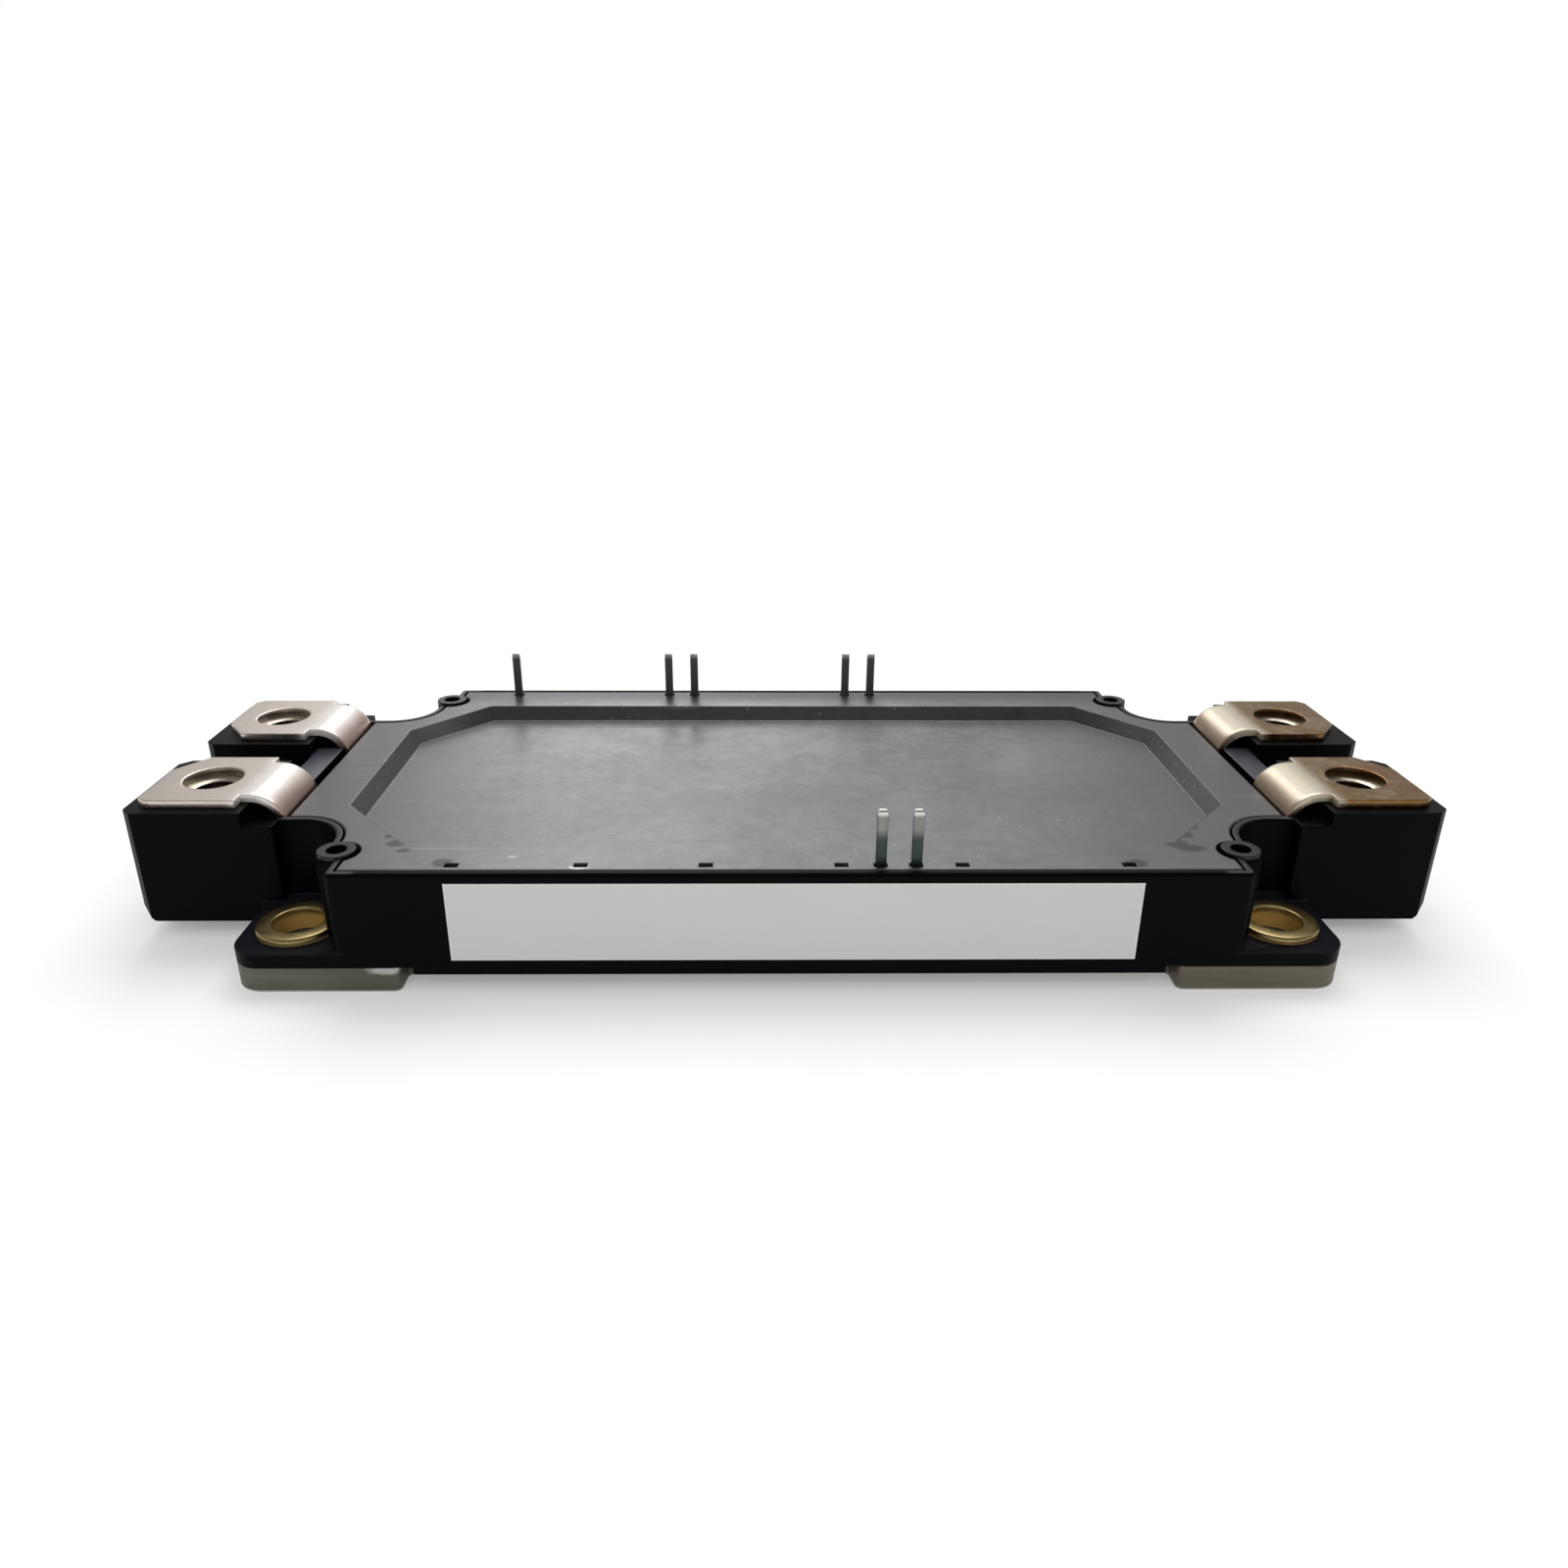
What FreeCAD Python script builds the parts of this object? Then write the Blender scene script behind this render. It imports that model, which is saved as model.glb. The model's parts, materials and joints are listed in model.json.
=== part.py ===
import FreeCAD, Part
import math
import os
import types

import Sketcher
from FreeCAD import Vector

# Dual transistor power module: a metal base plate carries a black moulded case with four
# folded screw terminals, brass bushings, a dished lid and a row of signal pins on each side.
# X runs along the long side, the labelled front faces -Y, Z is up.
# The origin is the middle of the base plate's underside. All lengths are millimetres.

doc = FreeCAD.newDocument("igbt_module")

# Driving dimensions: name, value, meaning
SIZES = (
    ("plate_length", 122, "base plate along X"),
    ("plate_width", 62, "base plate along Y, also the case width"),
    ("plate_thick", 3, "base plate thickness"),
    ("corner_round", 3.3, "plan radius of the plate and ear corners"),
    ("ear_length", 18.5, "stretch at each end of the plate that has its full width"),
    ("waist_depth", 3.5, "set-back of the long edges between those stretches"),
    ("waist_round", 0.8, "plan radius where the set-back begins"),
    ("mount_inset", 6, "mounting hole centres from the plate's edges"),
    ("mount_bore", 5.5, "mounting hole and bushing bore"),
    ("bushing_sleeve", 7.4, "outer diameter of the bushing sleeve"),
    ("bushing_flange", 9.2, "outer diameter of the bushing flange"),
    ("flange_thick", 0.9, "bushing flange thickness"),
    ("ear_thick", 1.7, "thickness of the moulded ears on the plate"),
    ("end_step", 1, "set-back of the end walls from the plate's ends"),
    ("case_high", 11.3, "case rim and lid over the plate"),
    ("case_edge", 0.3, "bevel of the case's outer top edges"),
    ("pocket_side", 4.1, "open corner over each ear: from the hole's centre inwards along X"),
    ("pocket_end", 7.8, "open corner over each ear: from the hole's centre inwards along Y"),
    ("pocket_round", 5.3, "concave radius in that open corner"),
    ("shoulder_step", 1.7, "front and back walls end this much further in"),
    ("shoulder_deep", 3.3, "depth of that step from the long edge"),
    ("shoulder_round", 0.7, "rounding of the walls' upright corners"),
    ("relief_high", 2.9, "clearance cut over the ear for the bushing flange"),
    ("skirt_drop", 0.9, "how far the long walls and blocks hang below the plate's top"),
    ("skirt_gap", 1.5, "gap between those long skirts and the plate's full-width ends"),
    ("fit", 0.1, "clearance between moulded-in metal, plate and case"),
    ("overrun", 1, "how far a cutting outline runs past what it cuts"),
    ("lid_gap", 0.16, "joint between the lid and the case rim"),
    ("end_rim", 1.9, "case rim between the lid and the end walls' faces"),
    ("rim", 1.05, "width of the case rim round the lid"),
    ("lid_thick", 2, "lid thickness at its border"),
    ("lid_edge", 0.2, "bevel of the lid's upper edge"),
    ("dish_border_x", 6, "lid border at the ends of the dish"),
    ("dish_border_y", 7.7, "dish from the long edges"),
    ("dish_corner_x", 9, "bevelled corner of the dish along X"),
    ("dish_corner_y", 10.5, "bevelled corner of the dish along Y"),
    ("dish_depth", 1.8, "depth of the dish in the lid"),
    ("dish_slope", 40, "slope of the dish walls from the upright, degrees"),
    ("dish_floor", 1.6, "lid thickness under the dish"),
    ("post_step_x", 5.6, "board post from the mounting hole, inwards along X"),
    ("post_step_y", 0.5, "board post from the mounting hole, outwards along Y"),
    ("post_outer", 4.2, "board post diameter"),
    ("post_bore", 2.2, "screw hole in a board post"),
    ("post_hole_deep", 6, "depth of that hole"),
    ("post_rise", 0.3, "board posts over the case rim"),
    ("post_notch", 0.45, "gap between a board post and the lid"),
    ("terminal_over", 7.5, "terminal screws beyond the plate's ends"),
    ("terminal_pitch", 22, "terminal screw spacing along Y"),
    ("block_past", 7.5, "terminal blocks beyond their screws"),
    ("block_width", 16.4, "terminal block along Y"),
    ("block_bevel", 1.6, "bevel under the blocks' outer ends"),
    ("block_corner", 1.2, "bevel of the blocks' upright outer corners"),
    ("groove_wide", 0.85, "width of the groove between the lid's end and the web of two blocks"),
    ("groove_deep", 5, "depth of that groove"),
    ("strip_thick", 1, "thickness of the terminal strip"),
    ("strip_neck", 10.2, "width of the strip where it leaves the case"),
    ("strip_bend", 3, "inner radius of the fold under the pad"),
    ("fold_room", 0.5, "extra width of the strip's slot where that fold begins"),
    ("fold_deep", 1.5, "depth of the widened part of the slot"),
    ("foot_bend", 0.6, "inner radius of the fold above the foot"),
    ("foot_length", 8.8, "length of the strip's foot"),
    ("seat_rise", 1.7, "seats under the pads over the case rim"),
    ("pad_width", 13.6, "terminal pad along Y"),
    ("pad_past", 6.1, "terminal pads beyond their screws"),
    ("pad_before", 5.2, "terminal pads before their screws, where the strip widens"),
    ("pad_hole", 6.7, "screw hole in the pad"),
    ("pad_bevel_x", 3, "inner corner bevel of the pad along X"),
    ("pad_bevel_y", 4.2, "inner corner bevel of the pad along Y"),
    ("pad_nick", 0.9, "outer corner bevel of the pad"),
    ("nut_flats", 10, "terminal nut across flats"),
    ("nut_high", 5, "terminal nut height"),
    ("nut_bore", 5, "terminal nut bore"),
    ("nut_play", 0.15, "play round the nut in its pocket"),
    ("screw_well", 4.5, "free depth for the screw end below the nut"),
    ("screw_room", 7.6, "diameter of that well"),
    ("pin_grid", 3.81, "step of the signal pin positions"),
    ("pin_inset", 2.25, "pin rows from the long edges"),
    ("pin_wide", 1.15, "signal pin along X"),
    ("pin_thick", 0.65, "signal pin thickness"),
    ("pin_rise", 6.5, "pin tips over the lid"),
    ("pin_point", 0.22, "bevel of the pin tips"),
    ("pin_foot", 4.9, "length of the pin's foot inside"),
    ("slot_play", 0.15, "play between a pin and its slot in the lid"),
    ("ledge_high", 3, "inner ledges that carry the feet, over the plate"),
    ("ledge_end", 2, "ledge between a strip's foot and the opening over the plate"),
    ("ledge_side", 4.3, "ledge along the long sides of that opening"),
    ("room_wall_x", 2.1, "end wall of the room over the ledges, from the lid's end"),
    ("room_wall_y", 4.2, "side wall of that room, from the long edge"),
    ("room_corner_x", 13.4, "bevelled corner of that room along X"),
    ("room_corner_y", 15.6, "bevelled corner of that room along Y"),
    ("label_left", -36.7, "left end of the label"),
    ("label_length", 74.1, "label along X"),
    ("label_foot", 1.8, "lower edge of the label over the skirt's"),
    ("label_high", 9.3, "label height"),
    ("label_thick", 0.15, "label thickness, let into the front wall"),
    ("tile_border_x", 2.1, "opening beyond the outer tiles"),
    ("tile_border_y", 2.5, "opening beside the tiles"),
    ("tile_gap", 1.5, "gap between tiles"),
    ("tile_thick", 0.63, "ceramic thickness"),
    ("copper_thick", 0.3, "copper foil on each side of a tile"),
    ("copper_border", 1.5, "bare ceramic round the copper"),
    ("bus_width", 3.4, "narrow middle track"),
    ("track_gap", 1.6, "gap between tracks"),
    ("chip_thick", 0.2, "chip thickness"),
    ("switch_side", 12, "side of a switching chip"),
    ("diode_length", 8.5, "diode chip along X"),
    ("chip_gap", 1.8, "gap between the two chips on a track"),
    ("sensor_length", 3.2, "temperature sensor along X"),
    ("sensor_width", 1.6, "temperature sensor along Y"),
    ("sensor_high", 0.8, "temperature sensor height"),
    ("wire", 0.35, "bond wire thickness"),
    ("wire_flat", 0.8, "bonded stretch at a wire's end"),
    ("wire_inset", 1.2, "distance of a wire's end from the edge it comes over"),
    ("wire_rise", 1.3, "height of a wire loop"),
    ("wire_step", 2.4, "distance between neighbouring wires"),
    ("gel_deep", 3.6, "gel filling over the ledges"),
)

# Signal pins, in steps of the pin grid from the middle
BACK_PINS = (-10.5, -4.5, -3.5, 2.5, 3.5)
FRONT_PINS = (2.5, 3.5)
# Pin openings in the lid's front border that stay empty, in steps of the pin grid
EMPTY_SLOTS = (-9.5, -5.9, -2.4, 1.4, 4.8, 9.5)

# Bond wires side by side: on a switching chip, on a diode chip, between tiles, to a terminal foot
SWITCH_WIRES = 2
DIODE_WIRES = 1
LINK_WIRES = 1
FOOT_WIRES = 2

TILES = (1, 2, 3)
SIDES = (-1, 1)


class Size:
    """A length together with the formula that gives it from the sheet."""

    def __init__(self, value, formula):
        self.value = value
        self.formula = formula

    def joined(self, sign, other):
        if not isinstance(other, Size):
            other = Size(other, repr(other))
        results = {
            "+": lambda a, b: a + b,
            "-": lambda a, b: a - b,
            "*": lambda a, b: a * b,
            "/": lambda a, b: a / b,
        }
        return Size(results[sign](self.value, other.value), f"({self.formula} {sign} {other.formula})")

    def __add__(self, other):
        return self.joined("+", other)

    def __sub__(self, other):
        return self.joined("-", other)

    def __mul__(self, other):
        return self.joined("*", other)

    def __truediv__(self, other):
        return self.joined("/", other)

    def __neg__(self):
        return self.joined("*", -1)


def make_sheet():
    """The sheet of driving dimensions, and one Size for each of its rows."""
    sheet = doc.addObject("Spreadsheet::Sheet", "Sizes")
    for row, (name, value, meaning) in enumerate(SIZES, 1):
        sheet.set(f"A{row}", name)
        sheet.set(f"B{row}", str(value))
        sheet.set(f"C{row}", meaning)
        sheet.setAlias(f"B{row}", name)
    doc.recompute()
    return types.SimpleNamespace(**{name: Size(sheet.get(name), f"Sizes.{name}") for name, _, _ in SIZES})


S = make_sheet()


def bind(item, **formulas):
    """Tie properties to formulas; a double underscore stands for a dot in the property path."""
    for path, size in formulas.items():
        item.setExpression(path.replace("__", "."), size.formula)


def new_body(label):
    body = doc.addObject("PartDesign::Body", label)
    body.Label = label
    return body


def new_sketch(body, name, plane="XY_Plane", level=None):
    """A sketch on one of the body's own planes, shifted along its normal by level."""
    sketch = body.newObject("Sketcher::SketchObject", f"{body.Name}_{name}")
    support = [item for item in body.Origin.OriginFeatures if item.Role == plane][0]
    sketch.AttachmentSupport = [(support, "")]
    sketch.MapMode = "FlatFace"
    if level is not None:
        bind(sketch, AttachmentOffset__Base__z=level)
    return sketch


def pin_point(sketch, geometry, position, x, y):
    """Hold one point of a sketch at two formulas from the origin."""
    for kind, size in (("DistanceX", x), ("DistanceY", y)):
        index = sketch.addConstraint(Sketcher.Constraint(kind, -1, 1, geometry, position, size.value))
        name = f"{kind.lower()}_{geometry}_{position}"
        sketch.renameConstraint(index, name)
        sketch.setExpression(f"Constraints.{name}", size.formula)


def add_polygon(sketch, corners):
    """A closed outline of straight edges through the given corners."""
    first = sketch.GeometryCount
    count = len(corners)
    places = [Vector(x.value, y.value, 0) for x, y in corners]
    for start, end in zip(places, places[1:] + places[:1]):
        sketch.addGeometry(Part.LineSegment(start, end))
    for step in range(count):
        following = first + (step + 1) % count
        sketch.addConstraint(Sketcher.Constraint("Coincident", first + step, 2, following, 1))
    for step, (x, y) in enumerate(corners):
        pin_point(sketch, first + step, 1, x, y)


def add_rectangle(sketch, x0, y0, x1, y1):
    add_polygon(sketch, [(x0, y0), (x1, y0), (x1, y1), (x0, y1)])


def add_circle(sketch, x, y, radius):
    index = sketch.addGeometry(Part.Circle(Vector(x.value, y.value, 0), Vector(0, 0, 1), radius.value))
    pin_point(sketch, index, 3, x, y)
    limit = sketch.addConstraint(Sketcher.Constraint("Radius", index, radius.value))
    name = f"radius_{index}"
    sketch.renameConstraint(limit, name)
    sketch.setExpression(f"Constraints.{name}", radius.formula)


def extrude(body, kind, name, sketch, length, side="One side", taper=None):
    """A Pad or Pocket that must add or take away material."""
    before = body.Shape.Volume if not body.Shape.isNull() else 0
    feature = body.newObject(f"PartDesign::{kind}", f"{body.Name}_{name}")
    feature.Profile = sketch
    feature.SideType = side
    bind(feature, Length=length)
    if taper is not None:
        bind(feature, TaperAngle=taper)
    doc.recompute()
    change = feature.Shape.Volume - before
    if (change > 0) != (kind == "Pad"):
        raise RuntimeError(f"{feature.Name} changed the volume by {change}")
    return feature


def pad(body, name, sketch, length, side="One side"):
    return extrude(body, "Pad", name, sketch, length, side)


def pocket(body, name, sketch, depth, taper=None):
    return extrude(body, "Pocket", name, sketch, depth, taper=taper)


def edges_where(feature, wanted):
    """Names of the feature's edges for which the test holds."""
    return [f"Edge{number}" for number, edge in enumerate(feature.Shape.Edges, 1) if wanted(edge)]


def dress(body, kind, name, size, wanted):
    """A Fillet or Chamfer on the wanted edges of the body's last feature."""
    base = body.Tip
    names = edges_where(base, wanted)
    if not names:
        raise RuntimeError(f"{body.Name} has no edge for {name}")
    feature = body.newObject(f"PartDesign::{kind}", f"{body.Name}_{name}")
    feature.Base = (base, names)
    bind(feature, **{"Radius" if kind == "Fillet" else "Size": size})
    doc.recompute()
    return feature


def near(a, b):
    return abs(a - b) < 1e-4


def straight(edge, direction):
    """True for a straight edge along the given direction."""
    if not isinstance(edge.Curve, Part.Line):
        return False
    return near(abs(edge.Curve.Direction.dot(direction)), 1)


def upright_at(*places):
    """Test for upright edges at the given plan distances from both middle planes."""
    def wanted(edge):
        if not straight(edge, Vector(0, 0, 1)):
            return False
        middle = edge.CenterOfMass
        return any(near(abs(middle.x), x.value) and near(abs(middle.y), y.value) for x, y in places)
    return wanted


def mirrored_outline(quadrant):
    """A closed outline, even about both axes, from its corners in the first quadrant."""
    right = quadrant
    left = [(-x, y) for x, y in reversed(quadrant)]
    upper = right + left
    lower = [(x, -y) for x, y in reversed(upper)]
    return upper + lower


def four_places(x, y):
    """The four corners of a rectangle about the middle."""
    return [(x * sign_x, y * sign_y) for sign_x in SIDES for sign_y in SIDES]


def place(item, x=None, y=None, z=None, turned=False):
    """Put a finished piece in its place, turned half round about Z where asked."""
    if turned:
        item.Placement = FreeCAD.Placement(Vector(), FreeCAD.Rotation(Vector(0, 0, 1), 180))
    for axis, size in (("x", x), ("y", y), ("z", z)):
        if size is not None:
            bind(item, **{f"Placement__Base__{axis}": size})


# Places that follow from the sizes. X and Y are distances from the middle planes.
plate_end = S.plate_length / 2
plate_side = S.plate_width / 2
waist_end = plate_end - S.ear_length
mount_x = plate_end - S.mount_inset
mount_y = plate_side - S.mount_inset
case_end = plate_end - S.end_step
lid_end = case_end - S.end_rim
pocket_x = mount_x - S.pocket_side
pocket_y = mount_y - S.pocket_end
shoulder_x = pocket_x - S.shoulder_step
shoulder_y = plate_side - S.shoulder_deep
post_x = mount_x - S.post_step_x
post_y = mount_y + S.post_step_y
post_radius = S.post_outer / 2
pin_row = plate_side - S.pin_inset
dish_x = lid_end - S.dish_border_x
dish_y = plate_side - S.dish_border_y

# Heights over the plate's underside
skirt_bottom = S.plate_thick - S.skirt_drop
ear_top = S.plate_thick + S.ear_thick
relief_top = ear_top + S.relief_high
ledge = S.plate_thick + S.ledge_high
gel_top = ledge + S.gel_deep
case_top = S.plate_thick + S.case_high
lid_bottom = case_top - S.lid_thick
post_top = case_top + S.post_rise
pin_tip = case_top + S.pin_rise
seat_top = case_top + S.seat_rise
pad_top = seat_top + S.strip_thick
label_low = skirt_bottom + S.label_foot

# Terminals, their blocks and the webs between the blocks
terminal_x = plate_end + S.terminal_over
terminal_y = S.terminal_pitch / 2
strip_inner = lid_end + S.lid_gap + S.fit
strip_outer = strip_inner + S.strip_thick
foot_reach = strip_outer - S.foot_length
seat_start = strip_outer + S.strip_bend
pad_start = terminal_x - S.pad_before
pad_reach = terminal_x + S.pad_past
block_inner = terminal_y - S.block_width / 2
block_outer = terminal_y + S.block_width / 2
block_reach = terminal_x + S.block_past
groove_inner = lid_end + S.lid_gap
groove_outer = groove_inner + S.groove_wide
groove_side = terminal_y - S.strip_neck / 2

# Room over the ledges, the opening over the plate and the tiles in it
room_x = lid_end - S.room_wall_x
room_y = plate_side - S.room_wall_y
well_x = foot_reach - S.ledge_end
well_y = room_y - S.ledge_side
tile_length = (well_x * 2 - S.tile_border_x * 2 - S.tile_gap * 2) / 3
tile_width = well_y * 2 - S.tile_border_y * 2
tile_pitch = tile_length + S.tile_gap

mount_places = four_places(mount_x, mount_y)
post_places = four_places(post_x, post_y)
terminal_places = four_places(terminal_x, terminal_y)


def base_plate():
    """Metal plate with flush corner pads and long edges set back between them."""
    body = new_body("base_plate")
    outline = new_sketch(body, "outline")
    back = plate_side - S.waist_depth
    add_polygon(outline, mirrored_outline([
        (plate_end, plate_side), (waist_end, plate_side), (waist_end, back)]))
    pad(body, "plate", outline, S.plate_thick)
    dress(body, "Fillet", "corners", S.corner_round, upright_at((plate_end, plate_side)))
    dress(body, "Fillet", "waist_corners", S.waist_round,
          upright_at((waist_end, plate_side), (waist_end, back)))
    holes = new_sketch(body, "holes", level=S.plate_thick)
    for x, y in mount_places:
        add_circle(holes, x, y, S.mount_bore / 2)
    pocket(body, "mounting_holes", holes, S.plate_thick)
    return body


def lid_outline(grow):
    """The lid's plan, grown outward by the given amount."""
    inner_x = pocket_x - S.rim + grow
    return mirrored_outline([
        (lid_end + grow, pocket_y - S.rim + grow),
        (inner_x, pocket_y - S.rim + grow),
        (inner_x, post_y),
        (shoulder_x - S.rim + grow, post_y),
        (shoulder_x - S.rim + grow, plate_side - S.rim + grow)])


def dish_outline():
    return mirrored_outline([
        (dish_x, dish_y - S.dish_corner_y), (dish_x - S.dish_corner_x, dish_y)])


def room_outline():
    return mirrored_outline([
        (room_x, room_y - S.room_corner_y), (room_x - S.room_corner_x, room_y)])


def add_slots(sketch, steps, row, half_wide, half_thick):
    """Rectangles centred on pin positions of one row."""
    for step in steps:
        x = S.pin_grid * step
        add_rectangle(sketch, x - half_wide, row - half_thick, x + half_wide, row + half_thick)


def case_frame_walls(body):
    """The moulded frame: ears below, walls above, open corners over the ears."""
    outline = new_sketch(body, "outline", level=S.plate_thick)
    add_polygon(outline, mirrored_outline([(plate_end, plate_side)]))
    pad(body, "frame", outline, case_top - S.plate_thick)
    dress(body, "Fillet", "ear_corners", S.corner_round, upright_at((plate_end, plate_side)))
    corners = new_sketch(body, "open_corners", level=case_top)
    over = plate_side + S.overrun
    beyond = plate_end + S.overrun
    for sx in SIDES:
        for sy in SIDES:
            corner = [(pocket_x, pocket_y), (beyond, pocket_y), (beyond, over),
                      (shoulder_x, over), (shoulder_x, shoulder_y), (pocket_x, shoulder_y)]
            add_polygon(corners, [(x * sx, y * sy) for x, y in corner])
    pocket(body, "open_corners_cut", corners, case_top - ear_top)
    dress(body, "Fillet", "open_corner_rounds", S.pocket_round, upright_at((pocket_x, pocket_y)))
    dress(body, "Fillet", "wall_corners", S.shoulder_round, upright_at((shoulder_x, plate_side)))
    ends = new_sketch(body, "end_trim", level=case_top)
    for sx in SIDES:
        add_rectangle(ends, case_end * sx, -block_outer, beyond * sx, block_outer)
    pocket(body, "end_trim_cut", ends, case_top - ear_top)
    dress(body, "Chamfer", "top_bevel", S.case_edge, lambda edge: near(edge.CenterOfMass.z, case_top.value))
    skirts = new_sketch(body, "skirts", level=skirt_bottom)
    reach = waist_end - S.skirt_gap
    inner = plate_side - S.waist_depth + S.fit
    for sy in SIDES:
        add_rectangle(skirts, -reach, inner * sy, reach, plate_side * sy)
    pad(body, "skirts_pad", skirts, S.skirt_drop + S.fit)


def case_blocks(body):
    """Four terminal blocks, the webs between them and their raised pad seats."""
    blocks = new_sketch(body, "blocks", level=S.plate_thick)
    start = case_end - S.rim
    for sx in SIDES:
        for sy in SIDES:
            add_rectangle(blocks, start * sx, block_inner * sy, block_reach * sx, block_outer * sy)
    pad(body, "blocks_pad", blocks, case_top - S.plate_thick)
    feet = new_sketch(body, "block_feet", level=skirt_bottom)
    for sx in SIDES:
        for sy in SIDES:
            add_rectangle(feet, (plate_end + S.fit) * sx, block_inner * sy,
                          block_reach * sx, block_outer * sy)
    pad(body, "block_feet_pad", feet, S.skirt_drop + S.fit)
    webs = new_sketch(body, "webs", level=S.plate_thick)
    for sx in SIDES:
        add_rectangle(webs, start * sx, -block_inner - S.rim, seat_start * sx, block_inner + S.rim)
    pad(body, "webs_pad", webs, case_top - S.plate_thick)
    seats = new_sketch(body, "seats", level=case_top - S.rim)
    for sx in SIDES:
        for sy in SIDES:
            add_rectangle(seats, seat_start * sx, block_inner * sy, block_reach * sx, block_outer * sy)
    pad(body, "seats_pad", seats, seat_top - case_top + S.rim)
    dress(body, "Chamfer", "block_corners", S.block_corner,
          lambda edge: straight(edge, Vector(0, 0, 1)) and near(abs(edge.CenterOfMass.x), block_reach.value))
    dress(body, "Chamfer", "block_undersides", S.block_bevel,
          lambda edge: straight(edge, Vector(0, 1, 0))
          and near(abs(edge.CenterOfMass.x), block_reach.value)
          and near(edge.CenterOfMass.z, skirt_bottom.value))
    groove = new_sketch(body, "grooves", level=case_top)
    for sx in SIDES:
        add_rectangle(groove, groove_inner * sx, -groove_side, groove_outer * sx, groove_side)
    pocket(body, "grooves_cut", groove, S.groove_deep)


def case_rooms(body):
    """The lid's seat and the two-step room inside the frame."""
    seat = new_sketch(body, "lid_seat", level=case_top)
    add_polygon(seat, lid_outline(S.lid_gap))
    pocket(body, "lid_seat_cut", seat, S.lid_thick)
    inset = S.rim - S.lid_gap
    dress(body, "Fillet", "lid_seat_rounds", S.pocket_round + inset,
          upright_at((pocket_x - inset, pocket_y - inset)))
    room = new_sketch(body, "room", level=lid_bottom)
    add_polygon(room, room_outline())
    pocket(body, "room_cut", room, lid_bottom - ledge)
    well = new_sketch(body, "well", level=ledge)
    add_polygon(well, mirrored_outline([(well_x, well_y)]))
    pocket(body, "well_cut", well, ledge - S.plate_thick)


def case_posts(body):
    """Board posts with blind screw holes, and the clearance over the bushing flanges."""
    posts = new_sketch(body, "posts", level=relief_top)
    for x, y in post_places:
        add_circle(posts, x, y, post_radius)
    pad(body, "posts_pad", posts, post_top - relief_top)
    holes = new_sketch(body, "post_holes", level=post_top)
    for x, y in post_places:
        add_circle(holes, x, y, S.post_bore / 2)
    pocket(body, "post_holes_cut", holes, S.post_hole_deep)
    reliefs = new_sketch(body, "flange_reliefs", level=relief_top)
    for x, y in mount_places:
        add_circle(reliefs, x, y, S.bushing_flange / 2 + S.fit)
    pocket(body, "flange_reliefs_cut", reliefs, relief_top - ear_top)
    sleeves = new_sketch(body, "sleeve_holes", level=ear_top)
    for x, y in mount_places:
        add_circle(sleeves, x, y, S.bushing_sleeve / 2 + S.fit)
    pocket(body, "sleeve_holes_cut", sleeves, ear_top - S.plate_thick)


def case_slots(body):
    """Slots that hold the terminal strips and the signal pins."""
    half = S.strip_neck / 2 + S.fit
    rise = new_sketch(body, "strip_slots", level=case_top)
    fold = new_sketch(body, "fold_slots", level=case_top)
    foot = new_sketch(body, "foot_slots", level=ledge + S.strip_thick + S.foot_bend)
    for sx in SIDES:
        for sy in SIDES:
            low = terminal_y - half
            high = terminal_y + half
            outer = strip_outer + S.fit
            add_rectangle(rise, (strip_inner - S.fit) * sx, low * sy, outer * sx, high * sy)
            add_rectangle(fold, strip_inner * sx, low * sy, (strip_outer + S.fold_room) * sx, high * sy)
            add_rectangle(foot, (foot_reach - S.fit) * sx, low * sy, outer * sx, high * sy)
    pocket(body, "strip_slots_cut", rise, case_top - ledge)
    pocket(body, "fold_slots_cut", fold, S.fold_deep)
    pocket(body, "foot_slots_cut", foot, S.strip_thick + S.foot_bend)
    half_wide = S.pin_wide / 2 + S.fit / 2
    half_thick = S.pin_thick / 2 + S.fit / 2
    shafts = new_sketch(body, "pin_slots", level=lid_bottom)
    feet = new_sketch(body, "pin_foot_slots", level=ledge + S.pin_thick + S.fit)
    for steps, sy in ((BACK_PINS, 1), (FRONT_PINS, -1)):
        add_slots(shafts, steps, pin_row * sy, half_wide, half_thick)
        for step in steps:
            x = S.pin_grid * step
            add_rectangle(feet, x - half_wide, (room_y - S.rim) * sy, x + half_wide,
                          (pin_row + half_thick) * sy)
    pocket(body, "pin_slots_cut", shafts, lid_bottom - ledge)
    pocket(body, "pin_foot_slots_cut", feet, S.pin_thick + S.fit)


def hexagon(sketch, x, y, flats):
    """A hexagon with two flats along X, centred at a place."""
    side = flats / math.sqrt(3)
    corners = [(side, flats * 0), (side / 2, flats / 2), (-side / 2, flats / 2),
               (-side, flats * 0), (-side / 2, -flats / 2), (side / 2, -flats / 2)]
    add_polygon(sketch, [(x + dx, y + dy) for dx, dy in corners])


def case_nut_pockets(body):
    """Hexagonal nut pockets with a round well for the screw end."""
    pockets = new_sketch(body, "nut_pockets", level=seat_top)
    wells = new_sketch(body, "screw_wells", level=seat_top - S.nut_high)
    for x, y in terminal_places:
        hexagon(pockets, x, y, S.nut_flats + S.nut_play * 2)
        add_circle(wells, x, y, S.screw_room / 2)
    pocket(body, "nut_pockets_cut", pockets, S.nut_high)
    pocket(body, "screw_wells_cut", wells, S.screw_well)


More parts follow.
